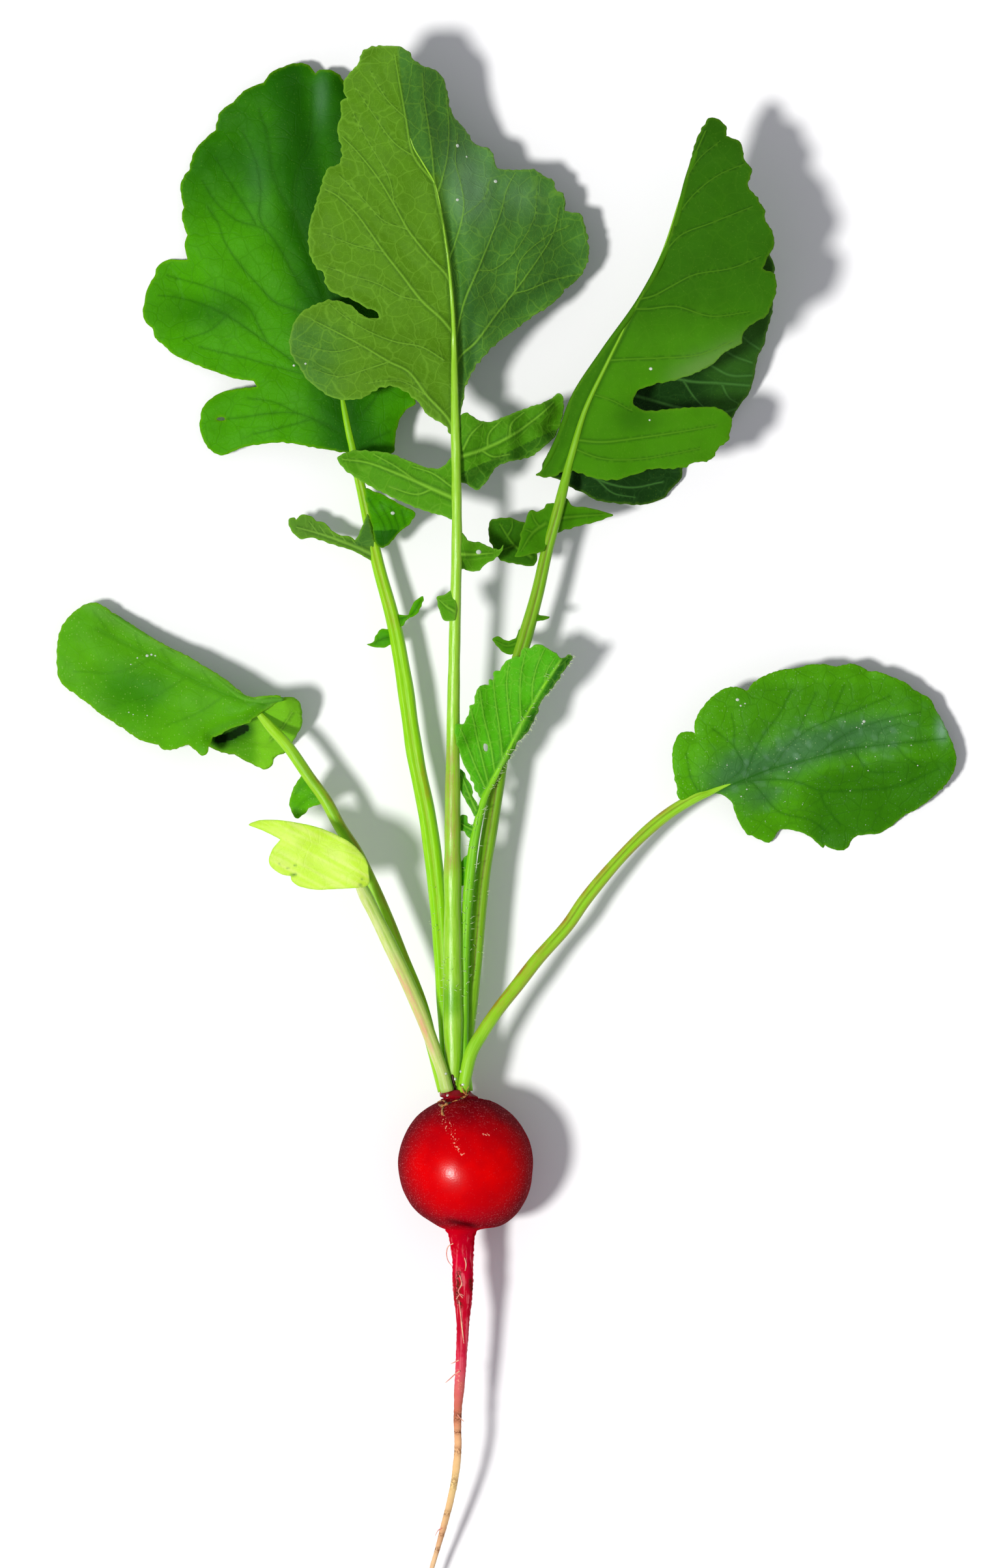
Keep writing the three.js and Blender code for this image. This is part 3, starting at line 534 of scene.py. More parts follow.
piece("crown_scars_and_shade", points, faces, dry_and_shade, masks=masks)


# ------------------------------------------------------------------ the stalks
# Each stalk is juicy, nearly round and a little ribbed, with a groove along its upper side on
# some leaves. All seven leave the crown close together, and each runs on as its blade's midrib.

stalk_skin, given, result = shader_group(
    "stalk_skin",
    [("Main", TINT, (0.3, 0.6, 0.05, 1)), ("Pale", TINT, (0.6, 0.8, 0.3, 1)),
     ("Deep", TINT, (0.1, 0.3, 0.01, 1)), ("Blush", TINT, (0.4, 0.15, 0.1, 1)),
     ("Groove", TINT, (0.2, 0.1, 0.02, 1)), ("Streak amount", FLOAT, 0.5)],
    [("Color", TINT), ("Height", FLOAT)],
)
held = stalk_skin
fine_run = node(held, "CombineXYZ", {0: sums(held, "MULTIPLY", mask_of(held, "around"), 1.2),
                                     1: sums(held, "MULTIPLY", mask_of(held, "run"), 0.07)})
ribs = node(held, "TexNoise", {"Vector": fine_run.outputs[0], "Scale": 4.0, "Detail": 4.0,
                               "Roughness": 0.6})
broad_run = node(held, "CombineXYZ", {0: sums(held, "MULTIPLY", mask_of(held, "around"), 0.5),
                                      1: sums(held, "MULTIPLY", mask_of(held, "run"), 0.16)})
clouds = node(held, "TexNoise", {"Vector": broad_run.outputs[0], "Scale": 1.6, "Detail": 3.0})
ribbed = blend(held, sums(held, "MULTIPLY", span(held, ribs.outputs[0], 0.36, 0.62),
                          given["Streak amount"]), given["Main"], given["Pale"])
# The Deep colour fills the darker bands: darker tissue, and painted shade down the side away from
# the lamp.
darkened_and_shaded = blend(held, mask_of(held, "dark_and_shade"), ribbed, given["Deep"])
blush_edge = sums(held, "MULTIPLY", mask_of(held, "blush"),
                  span(held, sums(held, "ADD", ribs.outputs[0],
                                  sums(held, "MULTIPLY", clouds.outputs[0], 0.6)), 0.55, 0.98))
blushed = blend(held, blush_edge, darkened_and_shaded, given["Blush"])
grooved = blend(held, mask_of(held, "groove"), blushed, given["Groove"])
pored = place(held, mottle, {"Main": grooved, "Patch": given["Main"], "Patch size mm": 2.5,
                             "Patch amount": 0.25, "Fleck": given["Pale"],
                             "Fleck size mm": 0.28, "Fleck amount": 0.3})
held.links.new(pored.outputs[0], result.inputs["Color"])
held.links.new(sums(held, "ADD", ribs.outputs[0], pored.outputs[1]), result.inputs["Height"])


def stalk_material(name, main, pale, dark_and_shade, blush, groove, streaks=0.5, gloss=0.34, shine=0.2):
    """Stalk tissue: ribbed, streaked and slightly see-through, with a waxy gloss."""
    made, tree, shader, output = new_material(name)
    tissue = place(tree, stalk_skin, {"Main": colour(*main), "Pale": colour(*pale),
                                      "Deep": colour(*dark_and_shade), "Blush": colour(*blush),
                                      "Groove": colour(*groove), "Streak amount": streaks})
    bump = node(tree, "Bump", {"Strength": 0.35, "Distance": 0.0001,
                               "Height": tissue.outputs["Height"]})
    tree.links.new(tissue.outputs["Color"], shader.inputs["Base Color"])
    tree.links.new(bump.outputs[0], shader.inputs["Normal"])
    tree.links.new(span(tree, tissue.outputs["Height"], 0.4, 1.2, gloss + 0.12, gloss - 0.06),
                   shader.inputs["Roughness"])
    shader.inputs["Specular IOR Level"].default_value = shine
    glow = node(tree, "BsdfTranslucent", {"Color": tissue.outputs["Color"]})
    mixed = node(tree, "MixShader", {0: 0.16, 1: shader.outputs[0], 2: glow.outputs[0]})
    tree.links.new(mixed.outputs[0], output.inputs["Surface"])
    return made


def window(values, low, high, soft):
    """1 between low and high, with soft ends."""
    return smoothstep(low - soft, low + soft, values) * smoothstep(high + soft, high - soft, values)


def turned(angle, centre, width):
    """1 at one angle round a stalk and 0 well away from it."""
    away = np.abs((angle - math.radians(centre) + math.pi) % (2 * math.pi) - math.pi)
    return np.exp(-((away / math.radians(width)) ** 2))


def stalk(name, material, path, grooves=(), blushes=(), dark_and_shade_bands=(), seed=1):
    """A stalk through [x, y, z, radius]. Grooves, blushes and darker bands say where they are:
    angle and width in degrees (90 is the top), from y to y, and how strong. A darker band down the
    stalk's right side, away from the lamp, is painted shade."""
    route = curve(path, 0.7)
    sides = 28
    line, radii = route[:, :3], route[:, 3]
    reach = np.tile(radii[:, None], (1, sides))
    angle = np.arange(sides) * 2 * math.pi / sides
    for centre, width, low, high, depth in grooves:
        here = window(line[:, 1], low, high, 3)[:, None]
        reach -= turned(angle, centre, width)[None] * here * depth * radii[:, None]
    ribs = 0.025 * np.cos(9 * angle)[None] + 0.012 * np.cos(17 * angle + 1)[None]
    reach *= 1 + ribs + 0.03 * unevenness(line, 9, seed)[:, None]
    points, faces, angles = tube(line, reach, sides)
    run = np.concatenate([[0], np.cumsum(np.linalg.norm(np.diff(line, axis=0), axis=1))])
    row = np.concatenate([np.repeat(np.arange(len(line)), sides), [0, len(line) - 1]])
    y = line[row, 1]

    def band(bands):
        total = np.zeros(len(points))
        for centre, width, low, high, strength in bands:
            here = turned(angles, centre, width) * window(y, low, high, 2.5) * strength
            total = np.maximum(total, here)
        return total

    lines = [(c, w * 0.26, low, high, 0.9) for c, w, low, high, depth in grooves]
    masks = {"around": np.sin(angles / 2) * 3 + seed, "run": run[row], "groove": band(lines),
             "blush": band(blushes), "dark_and_shade": band(dark_and_shade_bands)}
    points[:, 2] = np.maximum(points[:, 2], 0.03)
    piece(name, points, faces, material, [name], masks)
    return points, faces


def surface(spots, softness=7.0):
    """A surface through stated heights: each spot [x, y, z] counts for less with distance."""
    spots = np.asarray(spots, float)

    def height(places):
        total = np.zeros(len(places))
        weight = np.zeros(len(places))
        for x, y, z in spots:
            gap = (places[:, 0] - x) ** 2 + (places[:, 1] - y) ** 2
            w = (gap + softness**2) ** -2
            total += w * z
            weight += w
        return total / weight

    return height


def folded_under(height, fold, gape, step=0.9):
    """The half of a blade folded under the other, which opens away from it past the fold."""
    fold = np.asarray(fold, float)
    return lambda places: height(places) - step - gape * distance_to(fold, places)[0]


def onto(height, points):
    """Midrib points [x, y, radius, lift] at a blade's surface, lifted by so many radii."""
    route = curve(points, 3)
    z = height(route[:, :2]) + route[:, 3] * route[:, 2]
    return np.stack([route[:, 0], route[:, 1], z, route[:, 2]], 1).tolist()


def crown_point(degrees, ring=2.2, radius=1.0):
    """Where a stalk grows out of the crown."""
    turn = math.radians(degrees)
    return (CROWN_X + ring * math.cos(turn), 13.35, BULB_CENTRE_Z + ring * math.sin(turn), radius)


# ------------------------------------------------------------------ the left tall leaf
# The largest leaf lies with its upper side in view, deep green with sunken veins and a lobed,
# round-toothed margin. Small leaflets sit in pairs along its grooved stalk.

leaf_tissue, given, result = shader_group(
    "leaf_tissue",
    [("Upper", TINT, (0.05, 0.3, 0.01, 1)), ("Upper tone", TINT, (0.05, 0.3, 0.01, 1)),
     ("Under", TINT, (0.1, 0.3, 0.03, 1)), ("Under tone", TINT, (0.1, 0.3, 0.03, 1)),
     ("Vein upper", TINT, (0.05, 0.2, 0.01, 1)), ("Vein under", TINT, (0.3, 0.6, 0.1, 1)),
     ("Rim", TINT, (0.3, 0.6, 0.05, 1)), ("Fleck", TINT, (0.7, 0.9, 0.5, 1)),
     ("Sheen", TINT, (0.3, 0.5, 0.35, 1)),
     ("Fleck amount", FLOAT, 0.5), ("Net amount", FLOAT, 0.4), ("Cloud amount", FLOAT, 0.5)],
    [("Color", TINT), ("Height", FLOAT), ("Rough", FLOAT)],
)
held = leaf_tissue
side = mask_of(held, "underside")
place_of = node(held, "TexCoord").outputs["Object"]
clouds = node(held, "TexNoise", {"Vector": place_of, "Scale": 110.0, "Detail": 5.0,
                                 "Roughness": 0.6})
tone = span(held, sums(held, "ADD", mask_of(held, "tone"),
                       sums(held, "MULTIPLY", sums(held, "SUBTRACT", clouds.outputs[0], 0.5),
                            given["Cloud amount"])), 0.0, 1.0)
flesh = blend(held, side, blend(held, tone, given["Upper"], given["Upper tone"]),
              blend(held, tone, given["Under"], given["Under tone"]))
warped = node(held, "VectorMath", {0: place_of, 1: node(held, "VectorMath", {
    0: node(held, "TexNoise", {"Vector": place_of, "Scale": 500.0}).outputs["Color"],
    1: (0.0009, 0.0009, 0.0009)}, operation="MULTIPLY").outputs[0]}, operation="ADD").outputs[0]
fine_lines = node(held, "TexVoronoi", {"Vector": warped, "Scale": 760.0},
                  feature="DISTANCE_TO_EDGE")
broad_lines = node(held, "TexVoronoi", {"Vector": warped, "Scale": 270.0},
                   feature="DISTANCE_TO_EDGE")
net = sums(held, "MAXIMUM", span(held, fine_lines.outputs["Distance"], 0.0, 0.1, 0.4, 0.0),
           span(held, broad_lines.outputs["Distance"], 0.0, 0.06, 0.85, 0.0))
vein_tint = blend(held, side, given["Vein upper"], given["Vein under"])
netted = blend(held, sums(held, "MULTIPLY", net, given["Net amount"]), flesh, vein_tint)
sprinkled = place(held, mottle, {
    "Main": netted, "Patch": blend(held, 0.4, netted, (0.0, 0.0, 0.0, 1)),
    "Patch size mm": 4.0, "Patch amount": 0.2, "Fleck": given["Fleck"],
    "Fleck size mm": 0.45, "Fleck amount": given["Fleck amount"]})
# The shade mask paints shade, and deep shade above 0.9; the beside mask paints shade along the
# veins; the sheen mask paints a pale sheen.
darkened = blend(held, mask_of(held, "shade"), sprinkled.outputs[0], (0.3, 0.42, 0.5, 1),
                 "MULTIPLY")
shaded = blend(held, span(held, mask_of(held, "shade"), 0.9, 1.0), darkened, (0.1, 0.14, 0.1, 1),
               "MULTIPLY")
beside = blend(held, mask_of(held, "beside"), shaded, (0.35, 0.45, 0.5, 1), "MULTIPLY")
sheen_painted = blend(held, sums(held, "MULTIPLY", mask_of(held, "sheen"),
                          span(held, clouds.outputs[0], 0.25, 0.6, 0.5, 1.0)),
               beside, given["Sheen"])
veined = blend(held, mask_of(held, "vein"), sheen_painted, vein_tint)
rimmed = blend(held, mask_of(held, "rim"), veined, given["Rim"])
held.links.new(rimmed, result.inputs["Color"])
pores = node(held, "TexNoise", {"Vector": place_of, "Scale": 4200.0, "Detail": 2.0})
net_way = sums(held, "MULTIPLY", sums(held, "SUBTRACT", sums(held, "MULTIPLY", side, 2.0), 1.0),
               sums(held, "MULTIPLY", net, 0.8))
held.links.new(sums(held, "ADD", net_way, sums(held, "MULTIPLY", pores.outputs[0], 0.5)),
               result.inputs["Height"])
held.links.new(sums(held, "ADD", sums(held, "MULTIPLY", clouds.outputs[0], 0.3),
                    sums(held, "MULTIPLY", side, 0.16)), result.inputs["Rough"])


def leaf_material(name, tints, flecks=0.15, net=0.3, cloud=0.5, rough=0.34, shine=0.1,
                  glow=0.26, relief=0.4):
    """Leaf tissue with both its sides: a fine net of veins, flecks, and light coming through."""
    made, tree, shader, output = new_material(name)
    labels = ("Upper", "Upper tone", "Under", "Under tone", "Vein upper", "Vein under", "Rim",
              "Fleck", "Sheen")
    values = {label: colour(*tint) for label, tint in zip(labels, tints)}
    values.update({"Fleck amount": flecks, "Net amount": net, "Cloud amount": cloud})
    tissue = place(tree, leaf_tissue, values)
    bump = node(tree, "Bump", {"Strength": relief, "Distance": 0.00012,
                               "Height": tissue.outputs["Height"]})
    tree.links.new(tissue.outputs["Color"], shader.inputs["Base Color"])
    tree.links.new(bump.outputs[0], shader.inputs["Normal"])
    tree.links.new(sums(tree, "ADD", tissue.outputs["Rough"], rough), shader.inputs["Roughness"])
    shader.inputs["Specular IOR Level"].default_value = shine
    through = node(tree, "BsdfTranslucent", {"Color": tissue.outputs["Color"]})
    mixed = node(tree, "MixShader", {0: glow, 1: shader.outputs[0], 2: through.outputs[0]})
    tree.links.new(mixed.outputs[0], output.inputs["Surface"])
    return made


def inside(loop, places):
    """True for each place within a closed loop, in plan."""
    within = np.zeros(len(places), bool)
    for (ax, ay), (bx, by) in zip(loop, np.roll(loop, -1, axis=0)):
        if ay == by:
            continue
        crosses = (ay > places[:, 1]) != (by > places[:, 1])
        x = ax + (places[:, 1] - ay) / (by - ay) * (bx - ax)
        within ^= crosses & (places[:, 0] < x)
    return within


def cells(places, size, seed):
    """1 on the lines between scattered cells of the given size, and 0 within them."""
    draw = np.random.default_rng(seed)
    jitter = draw.uniform(0.1, 0.9, size=(64, 64, 2))
    spot = places[:, :2] / size
    corner = np.floor(spot).astype(int)
    first = np.full(len(places), 9.0)
    second = np.full(len(places), 9.0)
    for i in (-1, 0, 1):
        for j in (-1, 0, 1):
            cell = corner + (i, j)
            centre = cell + jitter[cell[:, 0] % 64, cell[:, 1] % 64]
            gap = np.linalg.norm(spot - centre, axis=1)
            second = np.minimum(second, np.maximum(first, gap))
            first = np.minimum(first, gap)
    return np.exp(-(((second - first) * size / 0.34) ** 2))


def sheet(margin, height, veins, facing, grid=0.42, holes=(), tone=None, shade=None,
          sheen=None, pucker=0.5, net=0.1, wave=0.3, ridge=0.5, seed=1, thick=0.34,
          rim_width=0.24, net_size=3.0, fine=1.0, tooth=0.07):
    """A leaf blade: points, faces and masks. The margin's corners have a third number. facing is
    1 where the upper side looks up and -1 where the underside does. Each vein is a list of
    points, its half width at the start and its half width at the end."""
    corners = [i for i, p in enumerate(margin) if len(p) > 2]
    edge = curve([p[:2] for p in margin], grid * 0.85, True, corners)
    edge = edge + tooth * np.stack([unevenness(edge, 1.4, seed + 8),
                                    unevenness(edge, 1.4, seed + 9)], 1)
    loops = [edge] + [curve(hole, 0.25, True) for hole in holes]
    edge_loop = np.vstack([edge, edge[:1]])
    low, high = edge.min(axis=0) - grid, edge.max(axis=0) + grid
    row_gap = grid * 0.866
    rows = np.arange(low[1], high[1], row_gap)
    columns = np.arange(low[0], high[0], grid)
    shift = (np.arange(len(rows)) % 2 * grid / 2)[:, None]
    spots = np.stack([(columns[None] + shift).ravel(), np.repeat(rows, len(columns))], 1)
    draw = np.random.default_rng(seed)
    spots += draw.uniform(-0.12, 0.12, size=spots.shape) * grid

    ribs = [(curve(points, 0.4), start * (fine if i else 1), end * (fine if i else 1))
            for i, (points, start, end) in enumerate(veins)]
    taken = set()
    vein_spots = []
    for route, start, end in ribs:
        across = np.gradient(route, axis=0)
        across = np.stack([-across[:, 1], across[:, 0]], 1)
        across /= np.maximum(np.linalg.norm(across, axis=1), 1e-9)[:, None]
        widths = np.linspace(start, end, len(route))
        for share in (0, -1, 1, -0.5, 0.5, -1.8, 1.8):
            for spot in route + across * (share * widths)[:, None]:
                key = (round(spot[0] / 0.13), round(spot[1] / 0.13))
                if key not in taken:
                    taken.add(key)
                    vein_spots.append(spot)
    keep = inside(edge, spots)
    spots = spots[keep]
    spots = spots[distance_to(edge_loop, spots)[0] > grid * 0.5]
    for route, start, end in ribs:
        gap, share = distance_to(route, spots)
        spots = spots[gap > 1.8 * (start + (end - start) * share) + 0.16]
    if vein_spots:
        vein_spots = np.array(vein_spots)
        vein_spots = vein_spots[inside(edge, vein_spots)]
        near_edge = distance_to(edge_loop, vein_spots)[0]
        spots = np.concatenate([spots, vein_spots[near_edge > 0.14]])
    for loop in loops[1:]:
        gap = distance_to(np.vstack([loop, loop[:1]]), spots)[0]
        spots = spots[~inside(loop, spots) & (gap > 0.15)]

    plan, borders = [], []
    for loop in loops:
        start = sum(len(p) for p in plan)
        plan.append(loop)
        borders += [(start + i, start + (i + 1) % len(loop)) for i in range(len(loop))]
    plan.append(spots)
    plan = np.concatenate(plan)
    made = delaunay_2d_cdt([Vector(p) for p in plan.tolist()], borders, [], 1, 1e-6)
    flat = np.array([tuple(v) for v in made[0]])
    triangles = np.array(made[2])
    middle = flat[triangles].mean(axis=1)
    kept = inside(edge, middle)
    for loop in loops[1:]:
        kept &= ~inside(loop, middle)
    triangles = triangles[kept]
    used = np.unique(triangles)
    renumber = np.full(len(flat), -1)
    renumber[used] = np.arange(len(used))
    flat, triangles = flat[used], renumber[triangles]

    to_edge = np.full(len(flat), np.inf)
    for loop in loops:
        to_edge = np.minimum(to_edge, distance_to(np.vstack([loop, loop[:1]]), flat)[0])
    vein_mask = np.zeros(len(flat))
    beside = np.zeros(len(flat))
    rise = np.zeros(len(flat))
    nearest = np.full(len(flat), 30.0)
    for route, start, end in ribs:
        gap, share = distance_to(route, flat)
        half = start + (end - start) * share
        here = np.exp(-((gap / (half * 1.05)) ** 2))
        vein_mask = np.maximum(vein_mask, here * np.clip(0.4 + half * 1.6, 0, 1))
        # A band along each side of a vein, for the painted shade beside it.
        beside = np.maximum(beside, np.exp(-(((gap - 1.9 * half) / (0.9 * half + 0.05)) ** 2)))
        rise = np.maximum(rise, here * half)
        nearest = np.minimum(nearest, gap)
    pillow = 1 - np.exp(-((nearest / 2.4) ** 2))
    pillow *= 1 - np.exp(-((to_edge / 1.6) ** 2))
    lines = cells(flat + 0.5 * np.stack([unevenness(flat, 2.5, seed + 1),
                                         unevenness(flat, 2.5, seed + 2)], 1), net_size, seed)
    lines *= smoothstep(0.3, 1.2, to_edge) * (1 - vein_mask)
    ripple = unevenness(flat, 7, seed + 5) * np.exp(-to_edge / 2.5)

    z = height(flat)
    step = 0.4
    slope_x = (height(flat + (step, 0)) - height(flat - (step, 0))) / (2 * step)
    slope_y = (height(flat + (0, step)) - height(flat - (0, step))) / (2 * step)
    normal = np.stack([-slope_x, -slope_y, np.ones(len(flat))], 1)
    normal /= np.linalg.norm(normal, axis=1)[:, None]
    z = z + wave * ripple + facing * pucker * pillow - facing * net * lines
    half = 0.5 * (0.1 + (thick - 0.1) * (1 - np.exp(-to_edge / 0.7)))
    z = np.maximum(z, half + 0.04)
    mid = np.column_stack([flat, z])
    up = half + (ridge * rise if facing < 0 else -0.25 * ridge * rise)
    down = half + (ridge * rise if facing > 0 else -0.25 * ridge * rise)
    down = np.minimum(down, np.maximum(mid[:, 2] - 0.02, 0.03) / np.maximum(normal[:, 2], 0.2))
    top = mid + normal * up[:, None]
    bottom = mid - normal * down[:, None]

    count = len(flat)
    faces = triangles.tolist()
    edges = {pair: True for a, b, c in faces for pair in ((a, b), (b, c), (c, a))}
    faces += [(c + count, b + count, a + count) for a, b, c in faces]
    for a, b in edges:
        if (b, a) not in edges:
            faces.append((b, a, a + count, b + count))
    both = {
        "vein": vein_mask, "beside": (0.6 if facing < 0 else 0.3) * beside * (1 - vein_mask),
        "rim": 0.4 * np.exp(-((to_edge / rim_width) ** 2)),
    }
    for key, look in (("tone", tone), ("shade", shade), ("sheen", sheen)):
        both[key] = np.clip(look(flat[:, 0], flat[:, 1]), 0, 1) if look else np.zeros(count)
    masks = {key: np.concatenate([values, values]) for key, values in both.items()}
    upper_up = np.zeros(count) if facing > 0 else np.ones(count)
    masks["underside"] = np.concatenate([upper_up, 1 - upper_up])
    return np.concatenate([top, bottom]), faces, masks


def leaf(name, material, slot, nodes, *sheets):
    """A blade or leaflet made of one or more sheets."""
    points, faces, masks = join(sheets)
    points[:, 2] = np.maximum(points[:, 2], 0.02)
    return piece(name, points, faces, material, nodes, masks)


left_stalk = stalk_material(
    "left_stalk", (144, 218, 6), (176, 232, 50), (84, 156, 4), (168, 142, 34), (124, 84, 14))
LEFT_SPOTS = [
    (-59, 158, -2), (-50, 147, 1.8), (-52, 178, 1.8), (-46, 190, 2.2), (-36, 201, 3),
    (-25, 201, 4.2), (-28, 180, 5.4), (-35, 170, 4.6), (-25, 160, 6.4), (-40, 160, 3.8),
    (-22, 140, 7.4), (-35, 140, 5.2), (-48, 136, 2.4), (-12, 135, 7.6), (-18, 188, 6.4),
    (-30, 190, 4.6), (-18, 160, 7),
]
LEFT_MARGIN = [
    (-22.3, 199), (-24, 200.9), (-27, 201.2), (-27.6, 200.6, 1), (-29, 202.2), (-31.5, 202.5),
    (-33.8, 201.8), (-36, 200.6), (-37.2, 198.9, 1), (-39.5, 198.2), (-41.8, 196.5),
    (-42.8, 195.3, 1), (-44.8, 194), (-45.8, 192), (-46, 190.3, 1), (-48, 188.7), (-50, 186.2),
    (-50.7, 184), (-51, 182.8, 1), (-52.3, 181), (-52.5, 179.3), (-52.2, 177), (-51.9, 176, 1),
    (-52.3, 174.2), (-51.8, 172.3), (-51.2, 170.8, 1), (-51.8, 169.3), (-51.5, 167.8),
    (-51.3, 166.3, 1), (-54.7, 166.3), (-56.7, 165.2), (-57.5, 163, 1), (-58.6, 161.2),
    (-59.2, 158.5), (-59.5, 156.5), (-59, 154.8), (-57.8, 153.8), (-57.3, 152, 1),
    (-55.5, 150.4), (-53.9, 149), (-50.2, 147.2), (-46.5, 145.8), (-42, 144.3), (-39, 143.8),
    (-38.4, 142.9, 1), (-40.5, 142.7), (-44.8, 142), (-46.8, 140.9), (-48.4, 139.2),
    (-48.8, 137.5), (-49, 135.8), (-48.4, 133.5), (-47.3, 131.6), (-45.3, 130.4),
    (-43.2, 130.8), (-40.8, 131.8), (-37, 132.4), (-33, 132.6), (-28.5, 131.8), (-24, 131),
    (-21.5, 130.7), (-17, 130.2), (-13.3, 130.8), (-13, 132.3), (-12.8, 134.5), (-12, 137),
    (-10.8, 138.8), (-9.2, 139.8), (-10.6, 144), (-12, 150), (-13, 158), (-14.5, 172),
    (-17.5, 188),
]
LEFT_VEINS = [
    ([(-20, 128), (-22.5, 140), (-25.5, 159), (-28, 166), (-31.7, 175)], 0.75, 0.45),
    ([(-31.7, 175), (-33.5, 177.5), (-35.5, 182), (-36.3, 188), (-38, 194)], 0.36, 0.16),
    ([(-31.7, 175), (-31.5, 180), (-30.5, 184), (-29, 186.5), (-28.5, 190), (-28.3, 198)],
     0.34, 0.16),
    ([(-25.3, 155), (-30.5, 156.8), (-35, 158.5), (-38.5, 162), (-42, 166), (-44.5, 170),
      (-45.5, 173), (-47.5, 176)], 0.32, 0.14),
    ([(-25.6, 157.6), (-27.5, 158.5), (-31.5, 163.5), (-34, 168), (-36.5, 171.5),
      (-38.5, 172.5), (-42, 173.5), (-46, 177), (-48.5, 181)], 0.32, 0.12),
    ([(-38.5, 172.5), (-39.5, 174.5), (-43, 180), (-46, 185)], 0.2, 0.1),
    ([(-36.5, 171.5), (-37.8, 174), (-37.7, 179), (-38.5, 184), (-41, 190)], 0.2, 0.1),
    ([(-22.8, 139), (-24, 140), (-29, 145), (-33, 148.5), (-38, 152), (-43, 155.5),
      (-48, 158), (-53.5, 159.5), (-56.5, 159.8)], 0.34, 0.14),
    ([(-36.5, 151), (-38, 154), (-40, 157.5), (-43, 159.5), (-48, 161.5), (-55, 163.5)],
     0.2, 0.1),
    ([(-29, 145), (-35, 146.6), (-42, 148.6), (-49, 150.2)], 0.16, 0.09),
    ([(-21, 132.6), (-22, 133.5), (-26, 136), (-31, 138), (-36, 138), (-41, 137.3),
      (-46, 136.8)], 0.28, 0.12),
    ([(-31, 138), (-35, 140), (-40, 140.8)], 0.14, 0.09),
    ([(-28, 137), (-33, 135.6), (-39, 134.2)], 0.14, 0.09),
    ([(-21.5, 136), (-18, 139), (-14.6, 144)], 0.24, 0.12),
    ([(-23, 146), (-18, 152), (-14.6, 160)], 0.24, 0.12),
    ([(-20.4, 131), (-17.4, 133), (-14, 134.6)], 0.16, 0.1),
    ([(-44, 156), (-47, 153.4), (-52, 151.6)], 0.13, 0.08),
]
left_height = surface(LEFT_SPOTS)
left_leaf = leaf_material("left_leaf", [
    (78, 170, 2), (36, 110, 0), (96, 150, 44), (80, 136, 50), (34, 98, 0), (140, 196, 70),
    (140, 210, 20), (150, 210, 70), (104, 152, 110)], flecks=0.1, net=0.2, cloud=0.6, shine=0.05)


def oval(x, y, middle, size):
    """1 at one place in plan, fading out over the given size along x and y."""
    return np.exp(-(((x - middle[0]) / size[0]) ** 2) - ((y - middle[1]) / size[1]) ** 2)


def left_tone(x, y):
    """Darker close to the midrib and over the upper part, clear green at the margins."""
    top = 0.62 * smoothstep(166, 186, y)
    rib = np.exp(-(((x + 20.3 + (y - 130) * 0.19) / 7.5) ** 2)) * 0.85
    lobe = 0.5 * oval(x, y, (-47, 157), (9, 4))
    return np.maximum(np.maximum(top, rib), lobe) + 0.12


def left_shade(x, y):
    """The tip rolls away from the light, and a soft hollow follows the midrib."""
    tip = smoothstep(-27, -22, x) * smoothstep(176, 190, y)
    roll = 0.5 * np.exp(-(((x + 20.3 + (y - 130) * 0.19 - 1.5) / 3) ** 2)) * smoothstep(146, 160, y)
    return np.maximum(tip * 0.8, roll)


def left_sheen(x, y):
    """Waxy light lies on the raised parts beside the main veins."""
    tip = 0.45 * oval(x, y, (-26.6, 196), (1.2, 4))
    middle = 0.16 * np.exp(-(((x + 38 + (y - 178) * 0.1) / 2.2) ** 2) - ((y - 180) / 7) ** 2)
    return np.maximum(tip, middle)


leaf("left_tall_blade", left_leaf, "leaf_upper_side", ["blade_left_tall"],
     sheet(LEFT_MARGIN, left_height, LEFT_VEINS, 1, grid=0.45, tone=left_tone,
           shade=left_shade, sheen=left_sheen, pucker=0.34, net=0.03, wave=0.25, seed=11,
           net_size=3.6, fine=0.5,
           holes=[[(-45.9, 137), (-45.2, 137.35), (-44.4, 137.2), (-44.3, 136.9),
                   (-45, 136.7)]]))
stalk("stalk_left_tall", left_stalk, [
    crown_point(238), (-3.4, 20, 10.6, 1.2), (-3.9, 28, 10.1, 1.3), (-4.7, 42.5, 9.6, 1.48),
    (-5.5, 52, 9.1, 1.55), (-7, 63.5, 8.6, 1.55), (-9.3, 75, 8.1, 1.5), (-11.5, 90, 7.6, 1.4),
    (-13.4, 100, 7.2, 1.25), (-16.1, 110, 6.8, 1.12), (-18.3, 120, 6.3, 1.0),
    *onto(left_height, [(-20.3, 129, 0.8, -0.35), (-22.4, 139, 0.6, -0.5),
                        (-23.6, 147, 0.55, -1.4), (-25.5, 159, 0.5, -1.6), (-28, 166, 0.45, -1.6),
                        (-31.7, 175, 0.36, -1.6), (-35.5, 183, 0.28, -1.6),
                        (-37, 192, 0.2, -1.6)])],
    grooves=[(96, 16, 30, 128, 0.3)],
    blushes=[(96, 10, 30, 84, 0.4), (60, 40, 66, 74, 0.7), (95, 30, 98, 130, 0.5)],
    dark_and_shade_bands=[(92, 30, 120, 196, 0.4)], seed=2)

